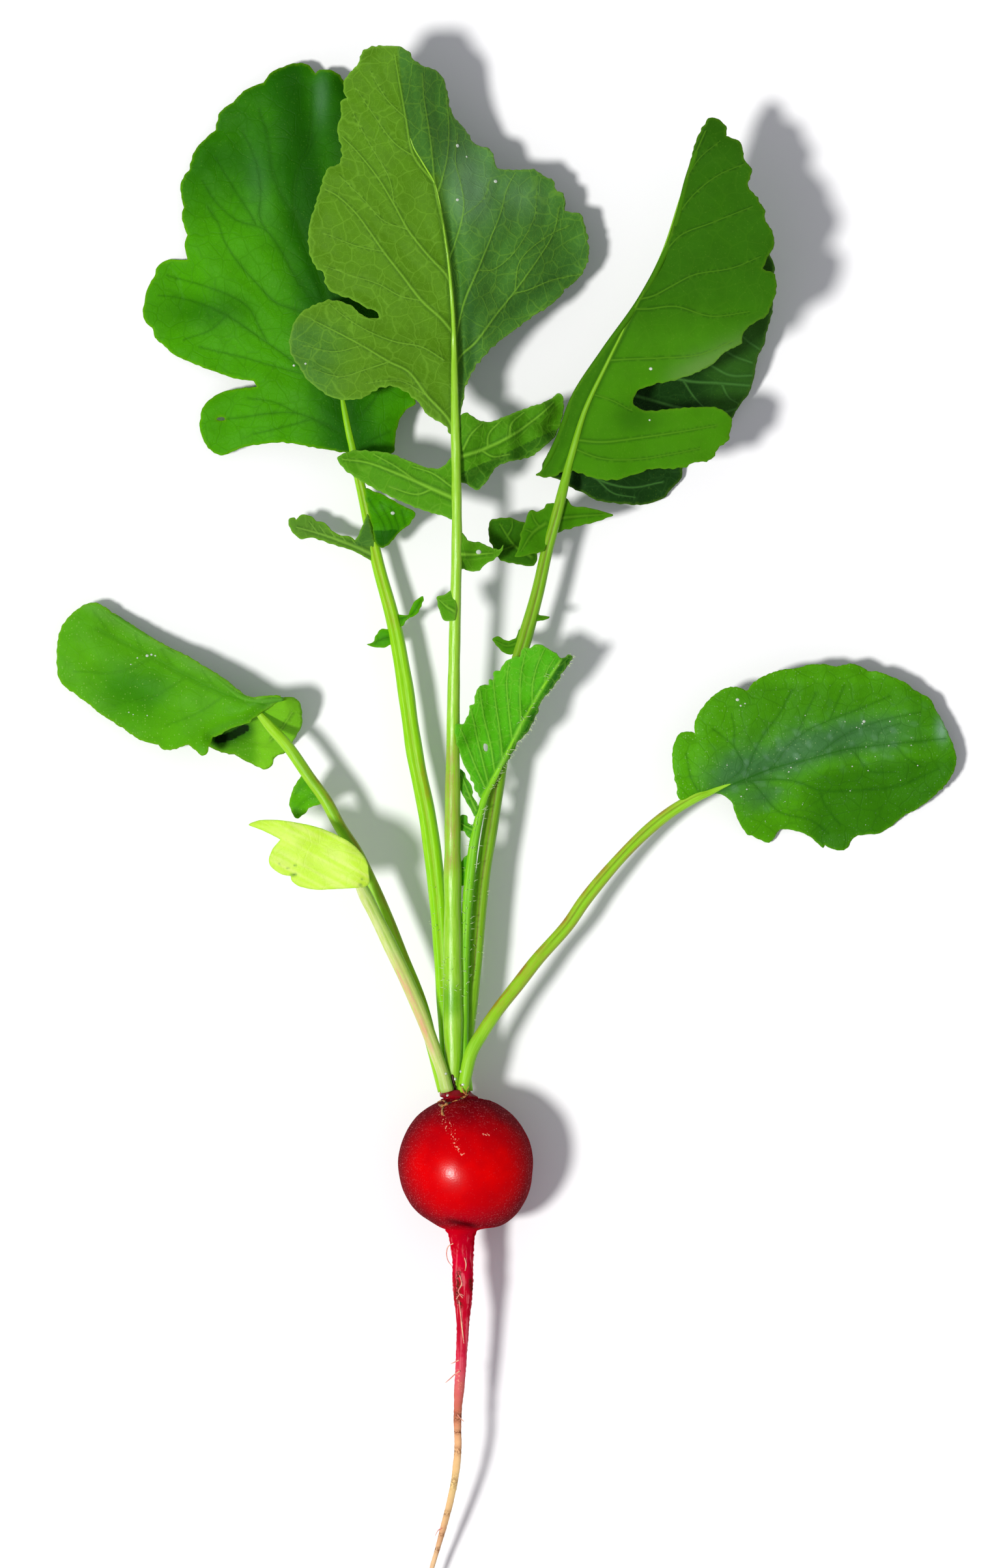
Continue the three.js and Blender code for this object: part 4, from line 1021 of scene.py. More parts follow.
left_leaflet = surface([(-18, 112, 7.2), (-30, 116, 6.2), (-32, 118, 6.6), (-20, 118, 9)], 2.4)
leaf("left_tall_leaflet_1", left_leaf, "leaf_upper_side", ["leaflet_left_tall_1"],
     sheet([(-16.4, 110.7), (-20.5, 112.6), (-25, 114), (-28, 115), (-30.5, 114.9),
            (-31.8, 116), (-32.6, 118.3), (-31.5, 118.9), (-31.2, 118.5, 1), (-30.3, 119.3),
            (-28.5, 119.1), (-27.5, 118.2, 1), (-26, 117.8), (-24.5, 116.3), (-23.3, 115.7),
            (-21, 115.2), (-20.3, 114.6, 1), (-19.3, 116.5), (-18.5, 118.5), (-18, 119.5),
            (-17.4, 117)],
           left_leaflet,
           [([(-17, 112), (-21, 113.8), (-26, 115.6), (-31, 117)], 0.3, 0.12)]
           + [([(-19.6 - k, 113.2 + 0.35 * k), (-20.6 - k, 114.4 + 0.36 * k),
                (-21.2 - k, 115.2 + 0.36 * k)], 0.12, 0.08) for k in (0, 1.9, 3.8, 5.6, 7.4)],
           -1, grid=0.3, pucker=0.22, net=0.05, wave=0.16, seed=12,
           tone=lambda x, y: 0.9 * (x > -20.6) * (y > 113.6)))
right_leaflet = surface([(-17, 114.5, 8), (-12, 116, 8.4), (-9.6, 119.5, 10), (-18, 124, 8.6),
                         (-14, 122, 10.2)], 2)
leaf("left_tall_leaflet_2", left_leaf, "leaf_upper_side", ["leaflet_left_tall_2"],
     sheet([(-18.4, 124.2), (-16.6, 123.5), (-15, 122.8), (-12, 121.2), (-9.2, 119.5),
            (-9.6, 118.6, 1), (-10, 118), (-10.6, 117.2, 1), (-12, 116.3), (-13.5, 114.5),
            (-15.2, 113.2), (-16.4, 113.8), (-17.4, 118)],
           right_leaflet,
           [([(-15.4, 113.6), (-14 + k, 116.5 - 0.15 * k), (-16.5 + 1.7 * k, 121.8 - 0.6 * k)],
             0.22, 0.1) for k in (-0.8, 0.5, 1.6, 2.8)],
           1, grid=0.28, pucker=0.5, net=0.04, wave=0.2, seed=13,
           tone=lambda x, y: 0.3 + 0.6 * (y < 116.5)))
tiny_right = surface([(-13, 100, 7.6), (-8, 104, 9.2)], 2)
leaf("left_tall_leaflet_3", left_leaf, "leaf_upper_side", ["leaflet_left_tall_3"],
     sheet([(-13.4, 101.4), (-12.2, 101), (-10.5, 100.9), (-10.2, 101.8), (-9.3, 103.4),
            (-7.8, 104.3), (-8, 102.8), (-9, 101), (-10.3, 100.4), (-11.5, 99), (-12.6, 98.4),
            (-13.4, 98.8)], tiny_right, [([(-12.6, 100), (-10, 101), (-8.2, 103.6)], 0.2, 0.08)],
           1, grid=0.25, pucker=0.15, net=0.03, wave=0.1, seed=14))
tiny_left = surface([(-13, 97, 7.6), (-18, 95.5, 7)], 2)
leaf("left_tall_leaflet_4", left_leaf, "leaf_upper_side", ["leaflet_left_tall_4"],
     sheet([(-12.9, 98.4), (-14.2, 98.3), (-15.5, 98.3), (-16.5, 97.3), (-17, 96),
            (-18.2, 95.4), (-16.5, 95), (-15, 94.8), (-13.8, 95.4), (-12.4, 95.2)], tiny_left,
           [([(-12.8, 97), (-15, 96.6), (-17.4, 95.5)], 0.2, 0.08)],
           1, grid=0.25, pucker=0.15, net=0.03, wave=0.1, seed=15))


# ------------------------------------------------------------------ the centre tall leaf
# This leaf stands highest and shows its underside: pale veins stand out in a net over duller green,
# olive on the left of the midrib and greyer on the right, with painted sheen over the top of the
# right side. Its stalk is round and glossy.

centre_stalk = stalk_material(
    "centre_stalk", (148, 214, 22), (192, 236, 96), (112, 184, 10), (168, 140, 62),
    (150, 190, 60), streaks=0.5, gloss=0.26, shine=0.42)
CENTRE_SPOTS = [
    (-2.2, 134, 17.8), (-2, 140, 18), (-2.6, 160, 19), (-4.4, 175, 20.4), (-9.5, 187, 21.8),
    (-12, 200, 23.2), (-17, 205, 24), (-14, 150, 17.2), (-30, 150, 14.2), (-28, 168, 14),
    (-15, 170, 18), (-24, 190, 16), (-20, 201, 19.5), (5, 150, 14), (8, 165, 14.2),
    (8, 180, 12), (16, 180, 8), (22, 172, 6.6), (20, 162, 7), (12, 156, 10),
    (4, 190, 9.5), (-2, 197, 14.6), (2, 172, 17.4),
]
CENTRE_MARGIN = [
    (-17.5, 205), (-14.5, 205.2), (-12, 205), (-10.5, 204), (-9.3, 202.5, 1), (-7.5, 201.5),
    (-5.5, 200.8), (-4, 199), (-3.3, 196.5), (-2.8, 194), (-2.3, 192.6, 1), (-0.5, 190.5),
    (1.5, 187.8), (2.5, 187), (4, 186.8), (5.2, 185), (5.7, 183, 1), (6.5, 182.7), (10, 182.7),
    (12.8, 182.8), (14.5, 181.5), (16, 181), (16.4, 179.8), (16.8, 178.6, 1), (17.8, 178.6),
    (18.3, 177), (18.3, 175.3, 1), (19.5, 174.8), (21.2, 174.6), (22, 172.5), (22.5, 171, 1),
    (22.7, 168), (22.2, 165), (20.8, 162.8), (18.5, 160.8), (17, 159, 1), (14.5, 157),
    (12.8, 156), (9, 153.2), (5.5, 150.5), (3, 147.8), (1, 145), (0, 142.5), (-0.6, 139),
    (-1.6, 134.4), (-2.8, 134), (-3.5, 135.3), (-5, 136.3), (-7, 137.5), (-8, 139), (-10, 141),
    (-11.8, 142.2), (-13.5, 142.8), (-15.5, 142.5), (-18, 141.2), (-19.5, 140.5),
    (-21.5, 140.3), (-23.5, 140.5), (-25, 140.9), (-27, 142.3), (-29.2, 144.2), (-30.5, 146.3),
    (-31.9, 148.5), (-32.4, 151.5), (-31.5, 154.5), (-30, 156.5), (-28, 157.7), (-24.5, 158.7),
    (-21, 157.6), (-19, 156), (-17, 155.2), (-15.8, 155.5, 1), (-16.2, 156.3), (-18.5, 157.3),
    (-21, 158.8), (-23.2, 159.6), (-24.7, 160.2), (-25.9, 162, 1), (-26, 163.5),
    (-27.5, 164.8), (-28.6, 167), (-28.9, 169.5), (-28.7, 172.5), (-27.5, 176.5),
    (-26.5, 179.5), (-26, 181.5), (-25, 183), (-23.3, 183.6, 1), (-22.7, 184.8),
    (-22.8, 186.8, 1), (-23.4, 188.8), (-23.5, 190.5), (-22.9, 192.3), (-22.8, 195),
    (-21.8, 195.6, 1), (-22.4, 197), (-22.3, 198.8), (-21, 200.5, 1), (-19.8, 201.8),
    (-19, 204),
]
CENTRE_VEINS = [
    ([(-1.9, 130), (-2.1, 150), (-2.6, 160), (-3.8, 170), (-5.8, 180.2)], 0.4, 0.2),
    ([(-5.8, 180.2), (-9.5, 185), (-11, 192), (-11.7, 196), (-13, 203.5)], 0.42, 0.2),
    ([(-5.8, 180.2), (-6.2, 185), (-7, 191), (-7.8, 196), (-8, 200)], 0.3, 0.14),
    ([(-5, 178.6), (-4.2, 181.5), (-3.5, 185), (-3.2, 190), (-3.6, 196)], 0.3, 0.14),
    ([(-2.2, 152.3), (-3, 153.5), (-4.5, 155.3), (-8, 158.5), (-11.5, 163), (-15, 167.5),
      (-17.8, 171.5), (-20, 174.5), (-23.5, 177.8), (-25.8, 179)], 0.5, 0.2),
    ([(-3, 162), (-3.8, 163.5), (-7, 167), (-10.5, 171.5), (-13, 176), (-16, 181),
      (-20, 186), (-22.5, 188.5)], 0.42, 0.18),
    ([(-2, 133), (-3, 136.5), (-7, 141), (-10.5, 145.5), (-14, 147.3), (-19, 150.3),
      (-24, 153), (-28, 155)], 0.5, 0.2),
    ([(-4, 147.6), (-8, 150), (-13, 151), (-18, 153), (-22, 155.5), (-25, 158)], 0.26, 0.12),
    ([(-2.1, 151), (-1.2, 155), (0.5, 160), (2.5, 165), (4.5, 170), (6.3, 174.5), (7.5, 179),
      (9, 182)], 0.4, 0.16),
    ([(-2.1, 145.6), (-1.3, 148), (1.5, 150.5), (5.5, 156), (8.7, 160), (13, 166),
      (16, 171), (17.2, 176)], 0.42, 0.16),
    ([(9, 160.6), (10, 166), (15, 170.5), (19, 172.5)], 0.22, 0.12),
    ([(8.7, 160), (11, 160.5), (16, 162.5), (21, 163.5)], 0.24, 0.12),
    ([(-3.3, 165), (-3, 166.5), (-1.2, 171), (-0.4, 176), (-1, 180), (-2, 184), (-1.6, 189)],
     0.34, 0.14),
    ([(2.3, 164), (5, 164.3), (8, 166.5), (10, 169), (12.5, 174), (13, 179)], 0.2, 0.1),
    ([(-0.6, 174), (3, 177), (4.6, 181)], 0.18, 0.1),
    ([(-8, 158.5), (-12, 159.4), (-16, 161.6), (-21, 163.2), (-26, 165)], 0.22, 0.1),
    ([(-15, 167.5), (-20, 168.6), (-26, 171)], 0.18, 0.1),
    ([(-10.5, 171.5), (-15, 173.2), (-18.6, 177), (-23, 181.4)], 0.18, 0.1),
    ([(-13, 176), (-14, 181), (-17.4, 187), (-20.6, 193)], 0.18, 0.1),
    ([(-9, 184.6), (-13, 187.4), (-16.4, 192), (-20, 197.4)], 0.22, 0.1),
    ([(-11, 192), (-14.4, 195.4), (-17.4, 200.4)], 0.2, 0.1),
    ([(-0.4, 140.5), (0.5, 143.4), (2.5, 146.4), (5.2, 149.3), (9, 152.2), (13, 155.1),
      (17, 158.5)], 0.28, 0.2),
    ([(-14, 147.3), (-18, 146), (-23, 144.6), (-28, 146)], 0.22, 0.1),
    ([(-19, 150.3), (-24, 149.2), (-30, 150.4)], 0.18, 0.1),
    ([(-7, 141), (-12, 143.8), (-18, 143.4)], 0.18, 0.1),
]
centre_height = surface(CENTRE_SPOTS)


def centre_relief(places):
    """The blade dips in a valley along the right of its midrib and rolls at its right edge."""
    x, y = places[:, 0], places[:, 1]
    rib = np.interp(y, (130, 150, 160, 170, 180, 187, 195, 203),
                    (-1.9, -2.1, -2.6, -3.8, -5.8, -9.5, -11.7, -13))
    across = x - rib
    valley = -1.7 * np.exp(-(((across - 1.6) / 1.3) ** 2)) * window(y, 140, 176, 6)
    swell = 0.9 * np.exp(-(((across - 5) / 2.6) ** 2)) * window(y, 146, 178, 6)
    return centre_height(places) + valley + swell


centre_leaf = leaf_material("centre_leaf", [
    (58, 138, 16), (40, 104, 24), (92, 146, 16), (78, 136, 48), (36, 104, 12), (140, 200, 56),
    (156, 216, 70), (160, 206, 80), (132, 178, 128)], flecks=0.1, net=0.34, cloud=0.4,
    shine=0.14, relief=0.6)


def centre_tone_and_sheen(x, y):
    """Greyer on the right of the midrib and at the end of the lower left lobe; the grey over the
    top right, right of the hem line, is painted sheen.
    """
    right = smoothstep(-3.4, 0.4, x + np.maximum(y - 150, 0) * 0.1)
    hem = np.interp(y, [181, 187, 195, 204], [-6.5, -10, -11.5, -12.4])
    right = np.maximum(right, smoothstep(-0.5, 0.5, x - hem) * smoothstep(180, 183, y))
    return np.maximum(right, 0.75 * smoothstep(-17, -30, x) * smoothstep(158, 152, y))


def centre_shade(x, y):
    """Hollows: along the right of the midrib, at the tip's right side and down the right edge."""
    valley = 0.75 * np.exp(-(((x - 1.2 + (y - 140) * 0.02) / 1.2) ** 2)) * window(y, 136, 162, 5)
    edge = 0.6 * smoothstep(12, 22, x) * smoothstep(168, 158, y)
    tip = 0.3 * oval(x, y, (-5, 193), (2, 8))
    fold = 0.5 * np.exp(-(((y - x * 0.78 - 150.5) / 2.2) ** 2)) * smoothstep(4, 9, x)
    return np.maximum(np.maximum(valley, edge), np.maximum(tip, fold))


def centre_sheen(x, y):
    """Waxy light on the slope that faces up and left."""
    slope = 0.75 * oval(x, y, (1, 180), (4.5, 7))
    lobe = 0.4 * oval(x, y, (9, 178), (5, 4))
    return np.maximum(slope * smoothstep(-5.5, -2, x + (y - 175) * 0.2), lobe)


leaf("centre_tall_blade", centre_leaf, "leaf_underside", ["blade_centre_tall"],
     sheet(CENTRE_MARGIN, centre_relief, CENTRE_VEINS, -1, grid=0.38, tone=centre_tone_and_sheen,
           shade=centre_shade, sheen=centre_sheen, pucker=0.6, net=0.05, wave=0.25, ridge=0.75,
           seed=21, net_size=2.5, thick=0.36, fine=0.48, tooth=0.12))
stalk("stalk_centre_tall", centre_stalk, [
    crown_point(0, 0), (-2.2, 16, 12.6, 1.35), (-2.2, 20, 12.9, 1.6), (-2.3, 28, 13.3, 1.82),
    (-2.35, 40, 13.8, 1.68), (-2.4, 60, 14.2, 1.48), (-2.3, 80, 14.3, 1.2),
    (-1.95, 100, 16.2, 1.02), (-1.6, 115, 17.9, 0.95),
    *onto(centre_relief, [(-1.8, 130, 0.86, 0.2), (-2.1, 145, 0.64, 0.3), (-2.3, 155, 0.42, 0.6),
                          (-3, 164, 0.26, 0.9), (-3.8, 170, 0.2, 1), (-5.8, 180.2, 0.17, 1),
                          (-9.5, 186.5, 0.13, 0.8), (-11.7, 195, 0.1, 0.4),
                          (-13, 202.5, 0.08, 0)])],
    grooves=[(38, 12, 34, 128, 0.05)],
    blushes=[(100, 80, 54, 78, 0.75), (60, 60, 64, 72, 0.6), (150, 50, 14, 22, 0.4)],
    # The darker band down the stalk's right side is painted shade.
    dark_and_shade_bands=[(90, 190, 27.5, 33, 1.0), (20, 36, 12, 66, 0.75), (170, 40, 12, 22, 0.5)], seed=3)

centre_leaflet = leaf_material("centre_leaflet", [
    (58, 138, 16), (40, 104, 24), (86, 160, 14), (58, 118, 18), (36, 104, 12), (140, 206, 56),
    (150, 216, 70), (160, 206, 80), (132, 178, 128)], flecks=0.1, net=0.24, shine=0.1, relief=0.5)
leaf("centre_tall_leaflet_1", centre_leaflet, "leaf_underside", ["leaflet_centre_tall_1"],
     sheet([(-2, 129.8), (-2.8, 129.5), (-4.2, 128), (-6.5, 127.8), (-10, 129), (-14, 130.5),
            (-18, 131), (-21, 131), (-23.5, 129.7), (-22.5, 127.8), (-20.5, 126.3),
            (-18.5, 125), (-15, 123.2), (-11, 121.3), (-7, 119.8), (-4, 119), (-2, 118.4)],
           surface([(-3, 125, 18.2), (-12, 127, 16.8), (-22, 130, 14.6), (-15, 124, 15.6),
                    (-8, 120, 16.4)], 3),
           [([(-2.4, 122.4), (-6, 124), (-12, 126.6), (-18, 128.8), (-22.4, 129.4)], 0.32, 0.12),
            ([(-6, 124), (-9, 123), (-14, 124.4)], 0.16, 0.1),
            ([(-9, 125.4), (-13, 128.2), (-16.6, 130.2)], 0.16, 0.1),
            ([(-2.6, 124.4), (-6, 126.8), (-9.6, 128)], 0.16, 0.1)],
           -1, grid=0.33, pucker=0.3, net=0.08, wave=0.2, ridge=0.6, seed=22,
           tone=lambda x, y: 0.1 + 0 * x))
leaf("centre_tall_leaflet_2", centre_leaflet, "leaf_underside", ["leaflet_centre_tall_2"],
     sheet([(-0.9, 137.4), (0.2, 138), (2, 136.8), (4.5, 136.3), (7, 137.2), (11, 138.8),
            (14, 139.8), (16, 140.8), (17.2, 141.6), (18, 141, 1), (18.1, 139), (17.5, 136),
            (16.5, 133.8), (14.5, 131.8), (12, 130), (6, 128.2), (3.5, 124.8), (2, 123.8),
            (0, 125), (-0.9, 125.4)],
           surface([(0, 134, 17.6), (7, 134, 15.8), (14, 138, 12.8), (17.5, 140, 9.6),
                    (16.6, 136, 9.4), (12, 131, 10.6), (6, 129.4, 13), (2, 125, 15),
                    (5, 130.4, 15.8), (12.3, 133.6, 13.4), (0.4, 127, 17)], 2.0),
           [([(-0.6, 130), (4, 131.6), (9, 134.2), (13.4, 137.4), (16, 139.8)], 0.3, 0.12),
            ([(4, 131.6), (4.2, 134), (6.4, 136.4)], 0.18, 0.1),
            ([(8, 133.6), (8.4, 136), (10.6, 138)], 0.18, 0.1),
            ([(-0.4, 131.4), (1, 134), (3, 136)], 0.18, 0.1),
            ([(3, 131), (5, 130), (8, 130.4)], 0.16, 0.1)],
           -1, grid=0.3, pucker=0.5, net=0.12, wave=0.2, ridge=0.6, seed=23, net_size=2.0,
           tone=lambda x, y: 0.25 + 0.75 * (y < 127.2 + 0.47 * x)))
leaf("centre_tall_leaflet_3", centre_leaflet, "leaf_underside", ["leaflet_centre_tall_3"],
     sheet([(-1.3, 115.9), (-0.5, 115.8), (0.5, 114.5), (2.5, 114.2), (4.5, 113.3),
            (6.2, 112.9), (7, 113.8), (6.8, 112.8), (5.5, 111.2), (3.5, 110), (2.5, 109),
            (1, 108.8), (-0.3, 109.3), (-1.3, 109.2)],
           surface([(-1, 113, 18.2), (3, 112, 16.6), (6.5, 113, 15.6), (2.5, 109.4, 14.8)], 2),
           [([(-1, 112), (2, 112), (5, 112.2)], 0.26, 0.1)],
           -1, grid=0.25, pucker=0.25, net=0.05, wave=0.12, seed=24))
leaf("centre_tall_leaflet_4", centre_leaflet, "leaf_underside", ["leaflet_centre_tall_4"],
     sheet([(-2, 105.4), (-2.6, 105.3), (-4, 104.5), (-5.3, 104.2), (-5, 102.5),
            (-4.5, 100.8), (-4, 99.8), (-2.6, 99.8), (-2, 99.8)],
           surface([(-2, 102, 17.8), (-5, 102, 16.2)], 2),
           [([(-2.2, 101.6), (-3.4, 102.4), (-4.8, 103.6)], 0.2, 0.08)],
           -1, grid=0.25, pucker=0.15, net=0.05, wave=0.1, seed=25))


# ------------------------------------------------------------------ the right tall leaf
# This blade is folded in two along its midrib. The upper half shows its matt olive underside;
# the other half, dark and puckered, opens away beneath it.

right_stalk = stalk_material(
    "right_stalk", (122, 186, 14), (152, 204, 56), (78, 138, 8), (150, 122, 44), (104, 44, 20),
    streaks=0.5, gloss=0.42)
RIGHT_SPOTS = [
    (14, 127, 11), (18, 138, 12.6), (22, 146, 14.6), (28, 153, 17), (34, 163, 19.4),
    (38.5, 174, 21), (41.5, 186, 21.6), (44.5, 192, 21.8), (30, 127, 14.6),
    (45, 130, 17.6), (49, 136, 19), (33, 141, 16.6), (40, 144, 19.6), (50, 150, 23),
    (56, 160, 26.2), (56, 168, 26.4), (55, 175, 25.6), (52, 183, 24.2), (48, 190, 22.6),
    (40, 160, 21.6), (46, 170, 24),
]
RIGHT_FOLD = [(14, 127), (17.2, 133.5), (20, 141), (25.5, 149.4), (32.4, 159.2),
              (37.9, 170.2), (40.9, 181.2), (44, 190)]
RIGHT_MARGIN = [
    (12.9, 126.6), (14.5, 128), (15.5, 130.5), (17.5, 135), (18.4, 138), (19.5, 141),
    (21.2, 144), (23.5, 146.7), (25.2, 149.5), (28.2, 153), (30.2, 156), (32.3, 159.5),
    (34.3, 163), (36.1, 167), (37.6, 170.5), (38.7, 174), (39.9, 178.5), (40.9, 182.5),
    (41.7, 186), (42.6, 188.5), (43.9, 190.8), (44.6, 191.9), (46, 191.9), (47.3, 191),
    (47.9, 190), (47.9, 188.5, 1), (49.8, 187.9), (50.7, 187), (51, 185, 1), (51.5, 183.8),
    (52.4, 182.8), (52.4, 181.5), (51.8, 180), (52, 178.8, 1), (53.5, 177.3), (54.8, 175),
    (55, 172.8, 1), (56, 171.5), (56.5, 170), (56.6, 168.5), (55.5, 166.5), (54.5, 164.3, 1),
    (55.2, 163.9), (56.5, 163.5), (57, 162), (56.9, 160), (56, 157.5), (55.2, 155.5, 1),
    (53, 154.3), (51, 152.5), (50.7, 150.5, 1), (48.5, 149.5), (46.5, 148), (46, 147.2, 1),
    (42.5, 145.3), (38, 143.8), (33.5, 142.8), (31.7, 142), (30.9, 140.8), (30.8, 139.8),
    (31.8, 138.8), (34, 138.3), (37, 138.6), (42, 139), (46.5, 138.8), (48, 137.8),
    (49, 136.5), (48.6, 134.5, 1), (48.3, 133), (46.5, 131.5), (45.7, 130, 1), (44.5, 129),
    (41.8, 128.7), (40.5, 128, 1), (38, 127.7), (34, 127.6), (31, 126.6), (28, 125.7),
    (25, 125.7), (22.5, 126.3), (20.2, 127.2), (18.4, 127.4), (16, 126.2),
]
RIGHT_VEINS = [
    ([(18.3, 127.5), (19.8, 131), (22, 138.5), (25.5, 146), (28, 151), (31, 157), (36, 167),
      (38.6, 174), (40.4, 181), (44, 189.5)], 0.34, 0.12),
    ([(31, 157), (33.5, 157), (38.6, 157.4), (45, 155.6), (52, 156.4)], 0.2, 0.1),
    ([(32.2, 158.8), (34.6, 159.4), (38, 161.2), (42, 163.2), (49, 164.4), (54, 166.4)], 0.2, 0.1),
    ([(35.8, 166.4), (39.5, 170.4), (45, 172.6), (52.6, 175.6)], 0.18, 0.1),
    ([(38.4, 173.4), (42, 178), (46.4, 181.4), (51, 183.4)], 0.16, 0.1),
    ([(40.2, 180.4), (43, 184.6), (46.6, 187.6)], 0.14, 0.09),
    ([(26.4, 147.6), (30, 147.8), (36, 148), (43, 148.6), (49, 151)], 0.2, 0.1),
    ([(23.4, 141.4), (27, 140.2), (30.4, 138.4)], 0.16, 0.1),
    ([(20.6, 133), (25, 132.6), (32, 133.4), (39, 134.4), (46, 135.6)], 0.26, 0.12),
    ([(20, 131.4), (25, 129.6), (31, 129.4), (38, 130.4), (43, 131.4)], 0.18, 0.1),
]
UNDER_MARGIN = [
    (14, 127.4), (16.8, 133.3), (19.9, 140.8), (25.4, 149.4), (32.4, 159.2), (37.9, 170.2),
    (40.9, 181.3), (44, 189.6), (48, 183), (53.5, 172), (56.6, 165.4), (56.8, 164.2),
    (56.3, 160, 1), (56.5, 157.3), (56, 155), (55.2, 152.4, 1), (55, 151), (53.8, 148.5),
    (53, 144.5), (52, 141.5), (50.5, 139.5), (49.3, 137.5), (46, 133), (41, 129.4),
    (40, 128), (39.8, 126.2), (38, 124.3), (36.5, 122.5), (33, 121.3), (28, 121.4),
    (24, 122), (21.5, 123.5), (19.8, 124), (18, 125.4),
]
UNDER_VEINS = [
    ([(22, 143), (31.2, 141.2), (38.3, 139.3), (46.1, 138.1), (50.2, 139)], 0.3, 0.18),
    ([(27, 150), (34, 146), (40.6, 144), (46.9, 143.6), (52.2, 143.2)], 0.3, 0.18),
    ([(33, 156), (39, 150), (45.3, 146.7), (48.5, 145.1), (52.6, 145)], 0.26, 0.16),
    ([(37, 164), (43, 154), (48.5, 149), (52.4, 147.4)], 0.24, 0.16),
    ([(39, 170), (46, 158), (51.2, 151.8), (54.3, 149.6)], 0.24, 0.16),
    ([(41, 178), (48, 166), (55, 158)], 0.22, 0.14),
    ([(40, 144), (42, 141), (44, 139)], 0.18, 0.12),
    ([(47, 143.6), (48.4, 141), (50, 140)], 0.18, 0.12),
    ([(18, 130), (24, 126), (30, 124.4), (36, 125.4)], 0.24, 0.14),
    ([(24, 126), (27, 123.4), (31, 122.6)], 0.18, 0.1),
]
right_height = surface(RIGHT_SPOTS)
right_under = folded_under(right_height, RIGHT_FOLD, 0.62)
right_leaf = leaf_material("right_leaf", [
    (54, 106, 28), (26, 66, 16), (70, 140, 4), (50, 108, 4), (82, 140, 60), (92, 148, 26),
    (112, 168, 30), (140, 186, 60), (112, 150, 76)], flecks=0.08, net=0.1, cloud=0.6,
    rough=0.46, shine=0.08, glow=0.2, relief=0.3)


def right_tone(x, y):
    """Duller towards the tip and beside the fold."""
    fold = np.exp(-((distance_to(np.asarray(RIGHT_FOLD, float), np.stack([x, y], 1))[0] / 3) ** 2))
    return np.maximum(0.95 * smoothstep(138, 168, y), 0.7 * fold)


def right_shade(x, y):
    """A hollow over the notch, and the shaded tip."""
    notch = 0.55 * oval(x, y, (31, 137), (4.5, 3))
    return np.maximum(notch, 0.3 * smoothstep(176, 192, y))


def right_sheen(x, y):
    """The lower margin of the main lobe and the strip beside the fold catch grey light."""
    low = 0.65 * np.exp(-(((y - 145.5 - 0.42 * (x - 42)) / 3) ** 2)) * smoothstep(34, 42, x)
    return low * smoothstep(142.5, 144, y)


def rounded_fold(height, fold, ends, radii, **looks):
    """The round edge of a folded blade: the radii at both ends and at so many points from
    each end, and one value all over for each mask."""
    route = [(x, y, float(height(np.array([[x, y]]))[0]) - 0.45) for x, y in fold]
    line = curve(route, 0.5)
    places = (0, ends[0], len(line) - ends[1], len(line))
    points, faces, _ = tube(line, np.interp(np.arange(len(line)), places, radii), 14)
    keys = ("vein", "beside", "rim", "tone", "shade", "sheen", "underside")
    return points, faces, {key: np.full(len(points), looks.get(key, 0.0)) for key in keys}


right_fold = rounded_fold(right_height, RIGHT_FOLD, (6, 8), (0.2, 0.6, 0.55, 0.15), tone=0.6,
                          rim=0.12, underside=1.0)
leaf("right_tall_blade", right_leaf, "leaf_underside", ["blade_right_tall"],
     sheet(RIGHT_MARGIN, right_height, RIGHT_VEINS, -1, grid=0.42, tone=right_tone,
           shade=right_shade, sheen=right_sheen, pucker=0.25, net=0.02, wave=0.2, ridge=0.4,
           seed=31, net_size=3.4, fine=0.7, tooth=0.1),
     sheet(UNDER_MARGIN, right_under, UNDER_VEINS, 1, grid=0.5, pucker=-1.0, net=-0.1,
           wave=0.25, seed=32, net_size=2.8,
           tone=lambda x, y: 0.2 + 0.8 * smoothstep(49, 38, x)),
     right_fold)
stalk("stalk_right_tall", right_stalk, [
    crown_point(300), (-0.5, 17, 10.3, 1.15), (0.1, 22, 10.2, 1.2), (1.5, 35, 10.3, 1.3),
    (3, 52, 10.4, 1.35), (5, 65, 10.5, 1.38), (7, 78, 10.6, 1.33), (9, 90, 10.8, 1.3),
    (11, 97, 10.9, 1.25), (13.2, 105, 11, 1.15), (15, 113, 11.4, 1.05),
    (16.8, 119.5, 12.4, 1.0),
    *onto(right_height, [(19, 128.4, 0.74, 0.1), (22, 138.5, 0.46, 0.3), (25.5, 146, 0.32, 0.4),
                         (28.2, 151.5, 0.22, 0.2), (31, 157, 0.2, -1.4), (36, 167, 0.18, -1.6),
                         (40, 179, 0.16, -1.6), (43.6, 188.6, 0.12, -1.6)])],
    grooves=[(92, 15, 34, 122, 0.34)],
    blushes=[(125, 26, 60, 122, 0.35), (70, 12, 40, 66, 0.4)],
    # The darker band down the stalk's right side is painted shade.
    dark_and_shade_bands=[(30, 50, 60, 100, 0.4)], seed=4)

